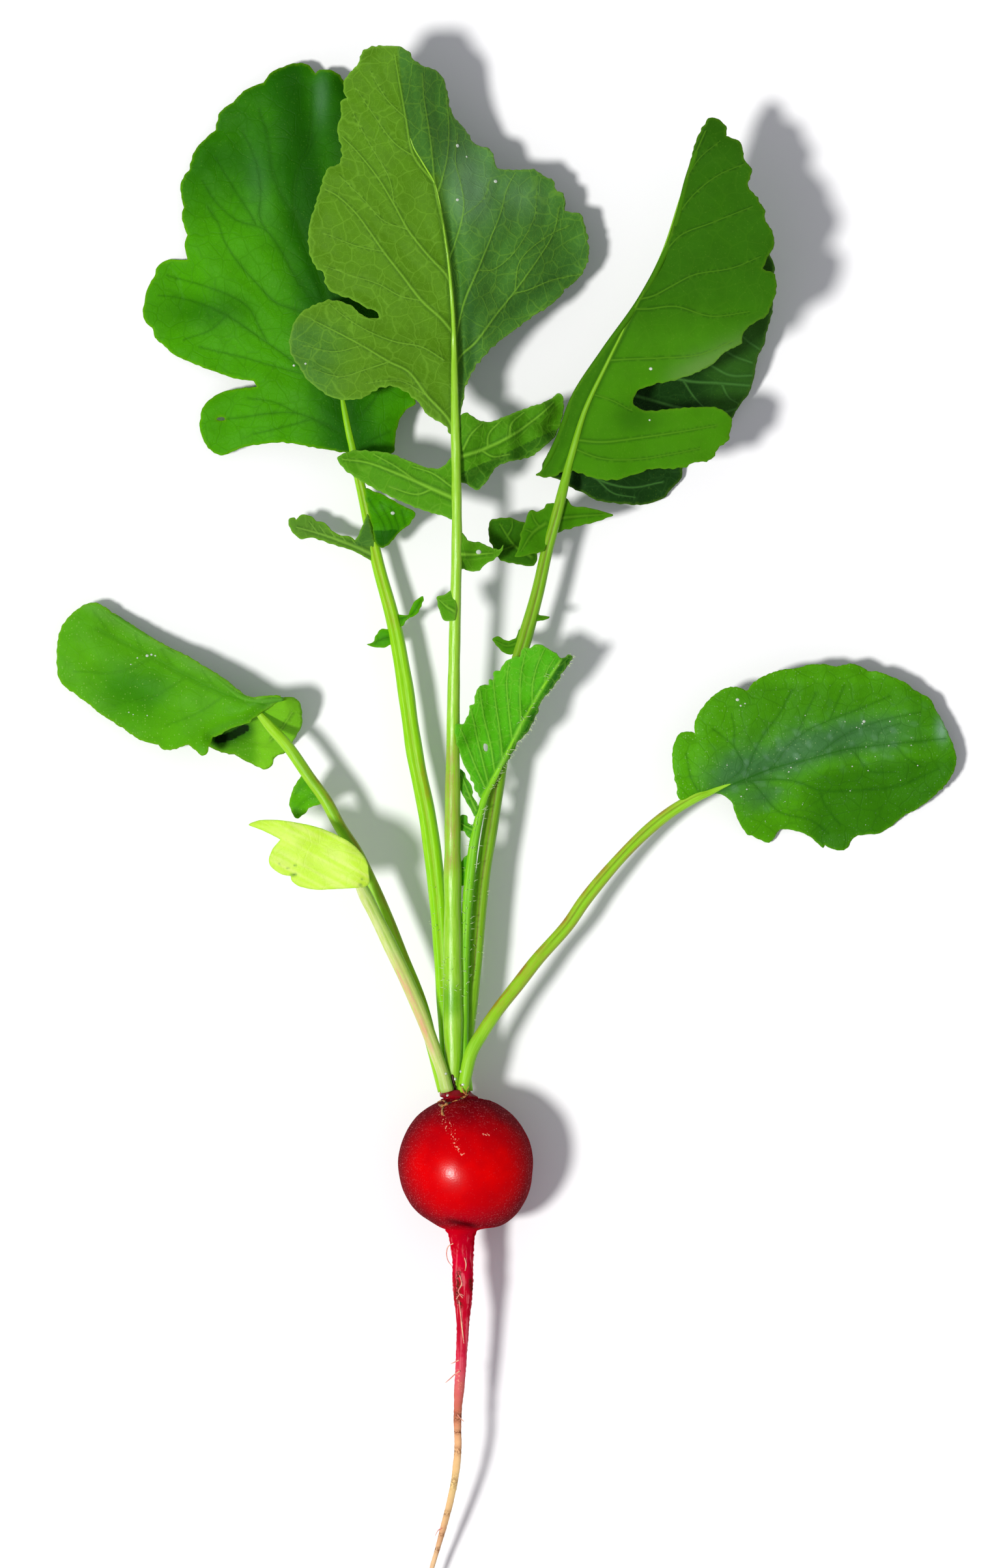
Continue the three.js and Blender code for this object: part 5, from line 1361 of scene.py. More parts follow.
leaf("right_tall_leaflet_1", right_leaf, "leaf_underside", ["leaflet_right_tall_1"],
     sheet([(17, 122.6), (18.6, 122.3), (19.5, 121), (22, 120.7), (25, 120), (27.1, 119.3),
            (24, 118), (20, 117), (17.4, 116.2), (15.7, 115.8)],
           surface([(17, 119, 12), (27, 119, 10), (20, 117, 9.8)], 2.5),
           [([(16.4, 118.6), (20, 119), (25, 119.3)], 0.24, 0.1)],
           -1, grid=0.3, pucker=0.2, net=0.05, wave=0.15, seed=33))
leaf("right_tall_leaflet_2", right_leaf, "leaf_underside", ["leaflet_right_tall_2"],
     sheet([(16.4, 121.2), (15, 121.3), (13.8, 120), (11.8, 120), (11, 118), (10.2, 116),
            (9.8, 113.5), (9.1, 111.5), (10.4, 111.6), (12, 112), (13.3, 112.3), (14.4, 112.6)],
           surface([(14.6, 117, 12.2), (10, 113, 13.2), (12, 119.6, 12.6)], 2.2),
           [([(14.6, 117.6), (12.4, 116), (10.2, 112.6)], 0.26, 0.1),
            ([(13.6, 117), (12.6, 118.4), (12.2, 119.6)], 0.16, 0.1),
            ([(12.4, 116), (11.4, 116.4), (10.8, 116.6)], 0.14, 0.08)],
           -1, grid=0.25, pucker=0.3, net=0.06, wave=0.15, seed=34,
           tone=lambda x, y: 0.15 + 0 * x))
leaf("right_tall_leaflet_3", right_leaf, "leaf_underside", ["leaflet_right_tall_3"],
     sheet([(13.2, 112.4), (11.9, 115.4), (10.8, 117.8), (9.6, 118.2), (8, 118.8),
            (6.5, 118.7), (4.6, 118.3), (4.2, 117), (4.3, 115), (5, 113.3), (5.8, 111.5),
            (7.2, 110.6), (8.5, 110.4), (12.6, 110)],
           surface([(12, 112, 10.8), (8, 112, 10.8), (5, 117, 8), (8, 118, 9.2),
                    (6, 112.4, 9.2), (10, 117, 10)], 1.8),
           [([(12, 111.6), (9, 113.6), (6.4, 117.6)], 0.24, 0.12),
            ([(9, 113.6), (7.4, 113), (6, 112.6)], 0.16, 0.1),
            ([(7.8, 115.4), (8.6, 117), (8.6, 118.2)], 0.16, 0.1)],
           -1, grid=0.26, pucker=0.4, net=0.08, wave=0.2, seed=35,
           tone=lambda x, y: 1.0 + 0 * x))
leaf("right_tall_leaflet_4", right_leaf, "leaf_underside", ["leaflet_right_tall_4"],
     sheet([(11.9, 102.5), (13.2, 102), (13.5, 101), (15.5, 100.5), (14, 99.8), (12, 99.7),
            (11.1, 99.4)], surface([(12, 101, 11.4), (15.5, 100.4, 10.8)], 2),
           [([(12, 101), (15, 100.5)], 0.16, 0.08)],
           -1, grid=0.22, pucker=0.1, net=0.03, wave=0.08, seed=36))
leaf("right_tall_leaflet_5", right_leaf, "leaf_underside", ["leaflet_right_tall_5"],
     sheet([(11.1, 98.8), (10, 98.3), (9, 96.5), (7.2, 96.3), (5.7, 96.9), (5, 96.5),
            (5.4, 95.5), (6.8, 94), (7.8, 93.6), (9.2, 93.8), (10, 93.9)],
           surface([(10, 96, 11.2), (5, 96.6, 10.2), (7.6, 94, 10.4)], 2),
           [([(9.8, 95.8), (7.6, 95.2), (5.6, 96)], 0.2, 0.08)],
           -1, grid=0.22, pucker=0.15, net=0.04, wave=0.1, seed=37))


# ------------------------------------------------------------------ the young leaf
# The smallest true leaf is bright green, crinkled and sharply toothed, with ribs that fan out
# to its teeth and short white hairs on its ribs and stalk.

young_stalk = stalk_material(
    "young_stalk", (128, 214, 18), (176, 234, 70), (80, 164, 8), (120, 150, 50), (104, 170, 20),
    gloss=0.4)
YOUNG_SPOTS = [
    (3.7, 68, 13.4), (7.4, 75, 14.4), (10.6, 81.4, 15.2), (14.1, 87.4, 15.7),
    (17.3, 92.3, 15.9), (-2, 80, 16.6), (1.5, 85, 15.4), (5, 90, 13.8), (10, 95, 14.8),
    (15, 94.8, 15.5), (6.5, 70.6, 12.2), (8.8, 75.2, 12.2), (13.4, 83, 12.9), (19.5, 93.4, 14.6),
    (2, 76, 13.6), (6, 84, 14.2), (11, 90, 15.2),
]
YOUNG_MARGIN = [
    (2.8, 67.3), (6, 70.8), (6.5, 72.6, 1), (7.1, 73.3), (8.8, 75.8), (9.4, 77.4, 1),
    (11.3, 79.3), (13.4, 83.5), (13.9, 85.2, 1), (15.5, 87), (17.6, 89.8), (19.6, 93.3),
    (18.9, 93.5), (17.6, 92.8, 1), (15.9, 94.2), (14.5, 95), (13, 95.5), (11.8, 94.8, 1),
    (10.6, 94.8), (9.9, 93.2, 1), (8.8, 93.1), (7.1, 92), (6.4, 90.6, 1), (5.3, 90.6),
    (5.1, 89, 1), (4.4, 89), (4.2, 88, 1), (3, 88), (1.8, 86.5), (1.6, 84.7, 1), (0.9, 84.2),
    (0.6, 82.6), (0, 81.9, 1), (-0.2, 80.9), (-1.7, 80.9), (-2, 79.6), (-1.4, 76.5),
    (-0.3, 73.3), (1.4, 69.8),
]
YOUNG_VEINS = [
    ([(3.4, 67.6), (7.4, 75), (10.6, 81.4), (14.1, 87.4), (17.3, 92.3)], 0.42, 0.2),
    ([(3.8, 68.6), (2, 72.6), (0.4, 76.6), (-1, 80)], 0.26, 0.14),
    ([(4.2, 69.4), (3, 74.6), (1.8, 79.4), (1, 83.4)], 0.26, 0.14),
    ([(5.4, 71.6), (4.6, 77), (3.2, 82.6), (2.6, 87)], 0.26, 0.14),
    ([(6.8, 74), (6.2, 80), (5.4, 85.4), (5, 89.6)], 0.24, 0.13),
    ([(8.6, 77.6), (8, 83), (7.6, 88), (8, 92)], 0.24, 0.13),
    ([(10.2, 80.8), (10, 85.4), (10.2, 90), (11, 94)], 0.22, 0.12),
    ([(12.2, 84.2), (12.4, 88.4), (13.2, 91.6), (14.4, 94.4)], 0.22, 0.12),
    ([(14.4, 88), (15, 90.6), (16.4, 93)], 0.18, 0.1),
    ([(8.4, 77), (9, 78.4), (9.6, 79.4)], 0.14, 0.1),
    ([(11.4, 83), (12.6, 84.6), (13, 85.8)], 0.14, 0.1),
]
young_height = surface(YOUNG_SPOTS, 2.2)
young_leaf = leaf_material("young_leaf", [
    (86, 184, 24), (54, 140, 16), (88, 192, 6), (34, 104, 6), (60, 150, 20), (150, 222, 64),
    (160, 222, 80), (190, 236, 120), (150, 210, 110)], flecks=0.2, net=0.26, cloud=0.5,
    shine=0.16, relief=0.6)
leaf("young_blade", young_leaf, "leaf_upper_side", ["blade_young"],
     sheet(YOUNG_MARGIN, young_height, YOUNG_VEINS, -1, grid=0.27, pucker=0.55, net=0.04,
           wave=0.1, ridge=0.7, seed=41, net_size=1.7, rim_width=0.2, fine=0.6, tooth=0.1,
           # The tone darkens the strip right of the midrib, which slopes away from the lamp:
           # painted shade.
           tone=lambda x, y: smoothstep(-0.2, 1.4, x - 3.4 - (y - 67.3) * 0.535),
           holes=[[(3.4, 77.2), (3.9, 77.1), (4.1, 76.4), (3.9, 75.8), (3.5, 75.9),
                   (3.3, 76.5)]]))
young_route = [
    crown_point(358), (-0.3, 21, 12.3, 0.82), (-0.3, 30, 12.7, 0.86), (-0.1, 40.5, 13, 0.9),
    (0.7, 52, 13.4, 0.92), (1.8, 60.5, 13.7, 0.86),
    *onto(young_height, [(3.6, 67.6, 0.62, 0.1), (7.4, 75, 0.34, 0.2), (10.6, 81.4, 0.26, 0.2),
                         (14.1, 87.4, 0.26, 0.2), (17, 91.8, 0.14, 0)])]
stalk("stalk_young", young_stalk, young_route, grooves=[(96, 16, 30, 66, 0.16)],
      # The first darker band, down the stalk's right side, is painted shade.
      dark_and_shade_bands=[(30, 40, 20, 66, 0.7), (96, 12, 34, 66, 0.4)], seed=5)
for number, (margin, spots, veins) in enumerate((
    ([(2.6, 64.2), (2.3, 66), (1.3, 67.5, 1), (1.1, 69.4), (0.4, 70.5, 1), (-0.2, 71.9),
      (-1.2, 72.6), (-1.4, 69.8), (-0.3, 67.3), (1.1, 64.9), (1.6, 63.8)],
     [(2, 65, 14.2), (-1, 72, 12.6), (0.6, 69, 13.4)],
     [([(1.9, 65), (0.6, 68), (-0.8, 71.6)], 0.2, 0.1),
      ([(1, 67), (0.2, 67.4), (-0.2, 67.8)], 0.1, 0.07)]),
    ([(2.2, 62), (1.6, 62.2), (0.4, 62.7, 1), (0.2, 63.8), (-0.7, 64.2), (-1.4, 61.5),
      (-0.3, 61.2, 1), (0.9, 59.7), (1.6, 60.4)],
     [(1.6, 61.4, 14), (-1, 63, 12.9)], [([(1.6, 61.2), (0.2, 61.9), (-0.9, 62.6)], 0.18, 0.1)]),
    ([(1, 57.2), (0.4, 56.8), (-0.4, 56.2, 1), (-1, 55), (-1.2, 53, 1), (-0.9, 51.1),
      (0.3, 51.4)],
     [(0.6, 54, 13.8), (-1, 54, 13)], [([(0.6, 54.2), (-0.8, 53.8)], 0.18, 0.1)]),
)):
    leaf(f"young_leaflet_{number + 1}", young_leaf, "leaf_upper_side",
         [f"leaflet_young_{number + 1}"],
         sheet(margin, surface(spots, 1.5), veins, -1, grid=0.2, pucker=0.25, net=0.05,
               wave=0.1, seed=42 + number, net_size=1.4, rim_width=0.18,
               tone=lambda x, y: 0.35 + 0 * x))


# ------------------------------------------------------------------ the low right leaf
# An oval leaf that lies nearly flat, its upper side in view: a grey-blue band of painted sheen
# along the midrib, a pale left lobe, and pale puckers between the veins. Painted shade darkens the
# blade right of the left lobe.

low_right_stalk = stalk_material(
    "low_right_stalk", (150, 220, 26), (186, 234, 84), (104, 182, 20), (176, 104, 44),
    (120, 96, 24), streaks=0.5, gloss=0.36)
LOW_RIGHT_SPOTS = [
    (90, 75, 4.2), (86, 84, 4.8), (76, 90, 6.4), (64, 92, 7.6), (50, 88, 8), (42, 82, 8.2),
    (38, 74, 8.6), (40, 67, 8.8), (50, 70, 9.6), (65, 75, 9.2), (80, 77, 6.6), (60, 67, 5.4),
    (51, 64, 3), (55, 59.5, -0.4), (62, 60.5, -1), (70, 57, -2.6), (78, 62, 0),
    (86, 67, 1.8), (72, 68, 4.6),
]
LOW_RIGHT_MARGIN = [
    (41.4, 67.3), (39.6, 66.9), (39, 67.4), (38.9, 68.7), (38.1, 73.1), (38.2, 76.7),
    (39.4, 79.1), (41.2, 79.5), (42.2, 79.1, 1), (42.1, 81.1), (43.3, 83.5), (45.3, 85.9),
    (47.7, 87.4), (49.7, 87.7), (51.7, 87, 1), (53.3, 88.8), (57.3, 90.6), (61.3, 91.2),
    (63.6, 91.8), (66.4, 91.8), (68.2, 91.4, 1), (70.8, 91.9), (72.4, 91.6), (74, 90.6, 1),
    (76.4, 90.3), (78.8, 89.4), (80.8, 88.6, 1), (83.1, 86.8), (85.5, 85.5), (86.3, 83.9, 1),
    (87.5, 81.9), (88.7, 79.5), (89.5, 77.5), (90.3, 75.1), (90.1, 72.7), (89.1, 70.7),
    (87.5, 68.7), (85.5, 66.9), (83.1, 65.2, 1), (80.8, 64), (78.4, 62), (76, 60.6, 1),
    (73.2, 60.4), (71.6, 60), (70.8, 58.8, 1), (70, 57.7), (68.4, 57.6), (66.8, 58.2),
    (66.2, 58.6, 1), (65.8, 58), (65, 58.8), (63.2, 60.2), (61.3, 61), (59.3, 61.4),
    (57.9, 61.5, 1), (57.1, 60.4), (56.5, 59.4), (55.7, 59), (54.1, 59.6), (51.7, 60.8),
    (50.5, 62.4), (49.7, 64.4, 1), (48.9, 66.4), (47.9, 67.4), (46.5, 68), (44, 67.6),
]
LOW_RIGHT_VEINS = [
    ([(42, 67.6), (47, 69), (50.9, 70.5), (56.5, 72.7), (63.6, 74.5), (69.6, 76.1),
      (75.6, 76.9), (81.6, 77.5), (88.3, 78.2)], 0.26, 0.14),
    ([(45.6, 68.6), (47.7, 69.9), (50.9, 73.1), (49.3, 76.7), (45.5, 79.9)], 0.24, 0.12),
    ([(49.3, 76.7), (49.4, 80), (48.9, 82.7)], 0.16, 0.1),
    ([(51.4, 70.8), (52.5, 74.3), (54.7, 78.7), (57.7, 82.7), (60, 87)], 0.26, 0.12),
    ([(55.2, 72.2), (56.5, 73.1), (59.7, 77.1), (62.6, 79.5), (66.4, 81.3), (70, 82.7),
      (73.6, 84.1), (78, 86)], 0.26, 0.12),
    ([(60.6, 78), (62.8, 83.1), (64.4, 86.6)], 0.16, 0.1),
    ([(67, 81.6), (69.6, 87.8)], 0.14, 0.1),
    ([(64, 74.7), (70, 79), (77, 81.6), (83.6, 83)], 0.2, 0.1),
    ([(75, 76.8), (75.8, 77), (76.2, 79.5), (80, 81)], 0.14, 0.1),
    ([(49, 69.8), (51.7, 70.3), (57.7, 70.7), (61.6, 70.1), (65.2, 68.7), (71.6, 68.7),
      (79.6, 69.5), (87, 72.6)], 0.26, 0.12),
    ([(65.2, 68.7), (66.2, 66), (69, 62.4)], 0.15, 0.1),
    ([(50.6, 70.2), (52.5, 70.1), (57.7, 64.8), (63.6, 63.2), (66.8, 60.8)], 0.22, 0.1),
    ([(70.6, 76.2), (71.6, 75.5), (74.4, 72.3), (79, 72)], 0.14, 0.1),
    ([(78, 77.1), (79.2, 76.7), (80.8, 74.9), (83.5, 73.1)], 0.14, 0.1),
    ([(43, 68.2), (41.4, 71), (40.6, 75.4)], 0.18, 0.1),
]
low_right_height = surface(LOW_RIGHT_SPOTS)
# Its second colour, grey-blue, is the painted sheen of the band along the midrib.
low_right_leaf = leaf_material("low_right_leaf", [
    (92, 182, 4), (80, 140, 76), (96, 150, 44), (80, 130, 50), (34, 104, 4), (140, 196, 70),
    (124, 204, 16), (180, 220, 140), (140, 184, 150)], flecks=0.36, net=0.22, cloud=0.9,
    shine=0.1, relief=0.5)


def low_right_rib(x):
    """How far along y the midrib is."""
    return np.interp(x, (42, 51, 64, 76, 88), (67.6, 70.5, 74.5, 76.9, 78.2))


def low_right_sheen_band(x, y):
    """Painted sheen: the grey-blue band along the midrib, and a pale patch at the right end."""
    rib = low_right_rib(x)
    band = np.exp(-(((y - rib - 2.6) / 4.6) ** 2)) * window(x, 45, 82, 6)
    lower = 0.6 * oval(x, y, (55, 68), (5, 3))
    return np.maximum(0.85 * band, lower)


def low_right_shade(x, y):
    """Dark at the lower right and along the top, where the blade turns from the light."""
    rib = low_right_rib(x)
    lower = 0.85 * smoothstep(rib, rib - 5, y) * smoothstep(57, 66, x)
    upper = 0.5 * smoothstep(rib + 4, rib + 8, y) * smoothstep(46, 52, x) * smoothstep(91, 87, y)
    right = 0.55 * smoothstep(76, 84, x)
    return np.maximum(np.maximum(lower, upper), np.maximum(right, 0.28 * smoothstep(41, 46, x)))


def low_right_sheen(x, y):
    """A cool glint at the right end, and broken light along the band."""
    places = np.stack([x, y], 1)
    broken = smoothstep(0.5, 1.3, unevenness(places, 2.6, 57)) * low_right_sheen_band(x, y)
    return np.maximum(0.9 * oval(x, y, (87.8, 80), (1.2, 2.2)),
                      0.35 * broken)


leaf("low_right_blade", low_right_leaf, "leaf_upper_side", ["blade_low_right"],
     sheet(LOW_RIGHT_MARGIN, low_right_height, LOW_RIGHT_VEINS, 1, grid=0.42,
           tone=low_right_sheen_band, shade=low_right_shade, sheen=low_right_sheen, pucker=0.4,
           net=0.04, wave=0.25, seed=51, net_size=3.2, fine=0.6))
stalk("stalk_low_right", low_right_stalk, [
    crown_point(48, 2.1, 1.05), (-0.1, 15.6, 14.4, 1.12), (1, 20.4, 14.5, 1.18),
    (3, 24, 14.2, 1.2), (5.9, 28.3, 13.4, 1.2), (9.6, 33, 12.5, 1.2), (13.2, 37.6, 11.6, 1.2),
    (18.7, 43.8, 10.5, 1.18), (21.8, 48.3, 10, 1.15), (26.1, 53.6, 9.4, 1.12),
    (30.3, 58.2, 8.8, 1.1), (34.2, 61.9, 8.1, 1.08), (38.2, 65, 7.9, 1.02),
    *onto(low_right_height, [(42.6, 67.5, 0.94, -0.5), (44.8, 68.3, 0.7, -0.6),
                             (46.8, 69.1, 0.4, -0.5), (49, 70, 0.22, -0.5),
                             (52.6, 71.3, 0.16, -0.6), (56, 72.4, 0.3, -1.7),
                             (63.6, 74.5, 0.3, -1.8), (75.6, 76.9, 0.3, -1.8),
                             (87, 78.1, 0.16, -2)])],
    grooves=[(100, 18, 40, 68, 0.2)],
    blushes=[(150, 34, 24, 66, 0.9), (20, 34, 28, 64, 0.8), (90, 40, 26, 40, 0.45)],
    # The darker band down the stalk's right side by the crown is painted shade.
    dark_and_shade_bands=[(95, 14, 38, 66, 0.5), (80, 180, 21.4, 22.6, 0.6), (30, 60, 14, 22, 0.35)], seed=6)


# ------------------------------------------------------------------ the low left leaf
# This leaf is folded along its top. The outer side shows, light green with its margin rolled in
# over the stalk, and the hollow below the fold is darkened with painted shade.

low_left_stalk = stalk_material(
    "low_left_stalk", (150, 216, 18), (186, 232, 76), (92, 160, 10), (150, 90, 40),
    (104, 70, 26), gloss=0.34)
LOW_LEFT_SPOTS = [
    (-66, 102, 4), (-61.8, 99.4, 4.8), (-54.9, 95.2, 6.6), (-47.2, 91, 8.6),
    (-41.9, 87.2, 10.6), (-34, 86, 13.6), (-75, 92, 1.4), (-72, 86.4, 1), (-64, 80.7, 1.4),
    (-58, 77.4, 2.6), (-48, 75, 5.6), (-46.5, 78.4, 8), (-66, 94, 6), (-58, 88, 8),
    (-50, 85, 10), (-42, 84, 13), (-38, 83.5, 14),
]
LOW_LEFT_FOLD = [(-67, 102), (-55.3, 94.7), (-47.5, 90.4), (-40.2, 85.4), (-33.5, 85.4)]
LOW_LEFT_MARGIN = [
    (-67.7, 103.1), (-69.4, 103.1), (-71.3, 102.1), (-73.2, 100.4), (-74.6, 98.3),
    (-75.2, 95.6), (-75.3, 92.5), (-75.1, 89.8), (-74.4, 88.3), (-72.1, 86.4, 1),
    (-69.4, 84.5), (-67.1, 82.6), (-64.1, 80.7, 1), (-62.1, 79.3), (-60.2, 78),
    (-58.3, 77.4), (-56.6, 77, 1), (-56, 76.3), (-54.3, 76.1), (-52.6, 76.5),
    (-50.9, 77.1, 1), (-49.5, 75.7), (-48, 75), (-47.2, 76.5), (-46.5, 78.4, 1),
    (-45.3, 78.8), (-43, 80.1), (-40.3, 80.9), (-38, 82.6), (-35.7, 84.1), (-34.2, 85.3),
    (-33.9, 86), (-36.5, 86), (-39.8, 85.9), (-41.9, 87.2), (-44.2, 89.1), (-47.2, 91),
    (-51, 93.3), (-54.9, 95.2), (-58.3, 97.1), (-61.8, 99.4), (-66, 102.1),
]
LOW_LEFT_VEINS = [
    ([(-37, 84.4), (-44, 86.2), (-52, 90), (-60, 94.2), (-68, 98.4)], 0.3, 0.14),
    ([(-59.6, 94), (-61, 98.4)], 0.16, 0.1),
    ([(-44, 86.2), (-49, 83), (-55, 80.6)], 0.2, 0.1),
    ([(-51, 89.6), (-57, 86.2), (-65, 84.4)], 0.2, 0.1),
    ([(-57.6, 92.9), (-64, 90.4), (-72, 90.6)], 0.2, 0.1),
    ([(-45, 86.8), (-47, 88.8), (-48.4, 90.6)], 0.14, 0.1),
    ([(-52, 90), (-54.4, 92.2), (-56, 94.6)], 0.14, 0.1),
    ([(-64.6, 96.4), (-67, 99.6), (-68.6, 101.8)], 0.14, 0.1),
]
FLAP_MARGIN = [
    (-66.3, 101.4), (-55.3, 94.8), (-47.6, 90.4), (-40.2, 85.5), (-34.2, 85.7), (-31.5, 85.7),
    (-30.5, 84.5), (-30, 82.2), (-30.3, 80.3), (-31.3, 78.6, 1), (-32.4, 76.6), (-33.2, 75.6),
    (-34.6, 75.1), (-35.4, 74.3), (-35.8, 73.2), (-36.9, 72.5), (-38.4, 73), (-40.3, 74),
    (-42.6, 75.2, 1), (-44.9, 75.6), (-46.8, 76.5), (-54, 80.5), (-62, 84), (-69, 89),
    (-72, 95), (-70, 100.5),
]
low_left_height = surface(LOW_LEFT_SPOTS)
low_left_flap = folded_under(low_left_height, LOW_LEFT_FOLD, 1.1)


def rolled_height(places):
    """The front half swells a little and its margin over the stalk rolls inward."""
    roll = distance_to(np.array([(-46.5, 78.4), (-43, 80.1), (-40.3, 80.9), (-35.7, 84.1)]),
                       places)[0]
    return low_left_height(places) - 1.6 * np.exp(-((roll / 1.3) ** 2))


low_left_leaf = leaf_material("low_left_leaf", [
    (92, 178, 8), (62, 146, 2), (136, 214, 36), (92, 170, 16), (70, 150, 4),
    (140, 200, 60), (150, 206, 40), (180, 224, 110), (128, 180, 88)], flecks=0.3, net=0.16,
    cloud=1.0, shine=0.08, relief=0.3)
low_left_fold = rounded_fold(low_left_height, LOW_LEFT_FOLD, (8, 5), (0.15, 0.55, 0.6, 0.3),
                             tone=0.3, sheen=0.25)


def hollow(x, y):
    """Deep shade just inside the mouth of the folded leaf."""
    mouth = [(-45.6, 78), (-43, 78.8), (-40.6, 80.2)]
    return 1.2 * near(mouth, np.stack([x, y], 1), 1.7)


leaf("low_left_blade", low_left_leaf, "leaf_upper_side", ["blade_low_left"],
     sheet(LOW_LEFT_MARGIN, rolled_height, LOW_LEFT_VEINS, 1, grid=0.4, pucker=0.16, net=0.03,
           wave=0.2, seed=61, net_size=3.2, fine=0.4,
           tone=lambda x, y: 0.1 + 0.9 * oval(x, y, (-61, 87), (7, 5)),
           sheen=lambda x, y: 0.3 * np.exp(-(((y - 94.6 - (x + 55) * -0.56) / 1.2) ** 2))),
     sheet(FLAP_MARGIN, low_left_flap, [([(-36, 78), (-34, 80), (-32, 83)], 0.14, 0.1)], -1,
           grid=0.5, pucker=0.2, net=0.03, wave=0.15, seed=62,
           # The flap's darker tone towards its left end and the hollow mask are painted shade under
           # the rolled front half.
           tone=lambda x, y: smoothstep(-37, -41, x), shade=hollow),
     low_left_fold)
stalk("stalk_low_left", low_left_stalk, [
    crown_point(178), (-6, 21, 12.2, 1.1), (-8.1, 29, 12.1, 1.2), (-11.2, 36.7, 12, 1.25),
    (-14.3, 44.4, 12, 1.25), (-17.3, 51.3, 12, 1.25), (-20, 56.9, 12, 1.22),
    (-23.1, 61.9, 12, 1.15), (-25.8, 66.9, 11.9, 1.12), (-28.8, 71.1, 11.8, 1.08),
    (-32.6, 76.6, 11.3, 1.05), (-36, 80.4, 10.1, 0.9), (-38.2, 83, 9.8, 0.6),
    (-39.6, 84.4, 10.9, 0.35)],
    blushes=[(30, 36, 24, 72, 0.85), (150, 24, 56, 70, 0.4)],
    dark_and_shade_bands=[(80, 30, 50, 76, 0.6)], seed=7)
leaf("low_left_leaflet", low_left_leaf, "leaf_upper_side", ["leaflet_low_left_1"],
     sheet([(-29, 72.6), (-30, 71.5), (-31.3, 69.6), (-32.3, 67.3), (-32.2, 65.2),
            (-31.1, 63.5), (-29.8, 64.2), (-28.5, 65.5), (-26.7, 66), (-25.8, 66.2),
            (-27, 69)],
           surface([(-27, 67.5, 12), (-32, 65, 9.4), (-30.6, 70, 11)], 2.2),
           [([(-27.4, 68), (-29.6, 66.8), (-31.2, 65)], 0.2, 0.1),
            ([(-28.4, 70.4), (-30, 69.4), (-31.4, 68)], 0.14, 0.08)],
           1, grid=0.26, pucker=0.3, net=0.06, wave=0.15, seed=63))


# ------------------------------------------------------------------ the seed leaf
# The seed leaf is thicker, paler and yellower than the others, with lengthwise streaks, on a
# cream stalk flushed with salmon.

seed_stalk = stalk_material(
    "seed_leaf_stalk", (206, 226, 118), (236, 240, 186), (140, 200, 40), (232, 168, 130),
    (96, 160, 34), streaks=0.6, gloss=0.32)
SEED_SPOTS = [
    (-18, 53, 21.6), (-20, 58, 22), (-30, 62, 21), (-40, 62.3, 19), (-36, 56, 18),
    (-30, 51, 18.4), (-22, 51, 20.4), (-27, 57, 19.6),
]
SEED_MARGIN = [
    (-39.8, 62.3), (-38, 63.1), (-34.6, 63.2), (-30.8, 62.7), (-26.9, 61.8), (-23.9, 60.6),
    (-20.4, 58.5), (-18.1, 55.5), (-17.7, 53.2), (-17.7, 51.6), (-18.6, 50.9), (-20.7, 50.7),
    (-24.3, 50.5), (-27.3, 50.4), (-30.4, 51), (-31.9, 52), (-32.1, 52.9, 1), (-33.4, 53.1),
    (-35.4, 54.3), (-36.1, 55.6), (-35.5, 57.7), (-34, 59.6, 1), (-35.4, 60.4),
    (-36.9, 61.1), (-38.6, 61.8),
]
seed_height = surface(SEED_SPOTS)
seed_leaf = leaf_material("seed_leaf", [
    (212, 250, 66), (232, 252, 120), (206, 250, 90), (190, 236, 80), (236, 255, 160),
    (214, 240, 130), (190, 244, 80), (120, 150, 40), (240, 255, 190)], flecks=0.1, net=0.1,
    cloud=0.3, rough=0.3, shine=0.2)


def seed_streaks(x, y):
    """Soft streaks that run the length of the leaf."""
    along, across = 0.894 * x - 0.447 * y, 0.447 * x + 0.894 * y
    return 0.35 + 0.4 * unevenness(np.stack([along / 12, across / 1.1], 1), 1.0, 72)


def seed_specks(x, y):
    """Small dark specks by the notch and at the foot."""
    places = np.stack([x, y], 1)
    marks = near([(-31.9, 53.1), (-31.2, 53.2)], places, 0.28)
    for at, size in (((-31.3, 54.9), 0.22), ((-32.6, 54.4), 0.16), ((-19.3, 51.3), 0.3),
                     ((-34.2, 55.1), 0.14), ((-19, 52.4), 0.2)):
        marks = np.maximum(marks, near([at, (at[0] + 0.1, at[1])], places, size))
    return marks


leaf("seed_leaf", seed_leaf, "seed_leaf", ["blade_seed_leaf"],
     sheet(SEED_MARGIN, seed_height, [], 1, grid=0.33, pucker=0.2, net=0.02,
           wave=0.2, seed=71, thick=0.5, net_size=3.5, fine=0.6, tooth=0.02, tone=seed_streaks,
           shade=seed_specks))
stalk("stalk_seed_leaf", seed_stalk, [
    crown_point(128, 2.3, 1.25), (-4.3, 17, 14.5, 1.15), (-5.5, 20.5, 14.9, 1.2),
    (-7.9, 27, 15.4, 1.28), (-10.8, 33.7, 16.2, 1.3), (-13.5, 39.4, 17, 1.25),
    (-16.4, 45.4, 18, 1.2), (-18.4, 49.4, 19.2, 1.2),
    *onto(seed_height, [(-19.8, 52.2, 0.9, -0.7), (-21.6, 54.2, 0.5, -1.2),
                        (-23.4, 56, 0.25, -1.7)])],
    grooves=[(86, 11, 20, 50, 0.14)],
    blushes=[(120, 40, 21, 38, 0.95), (60, 22, 16, 30, 0.3)],
    # The first darker band, down the stalk's right side, is painted shade.
    dark_and_shade_bands=[(30, 50, 12, 54, 0.85), (86, 14, 16, 50, 0.5), (140, 70, 11, 17, 0.5)],
    seed=8)


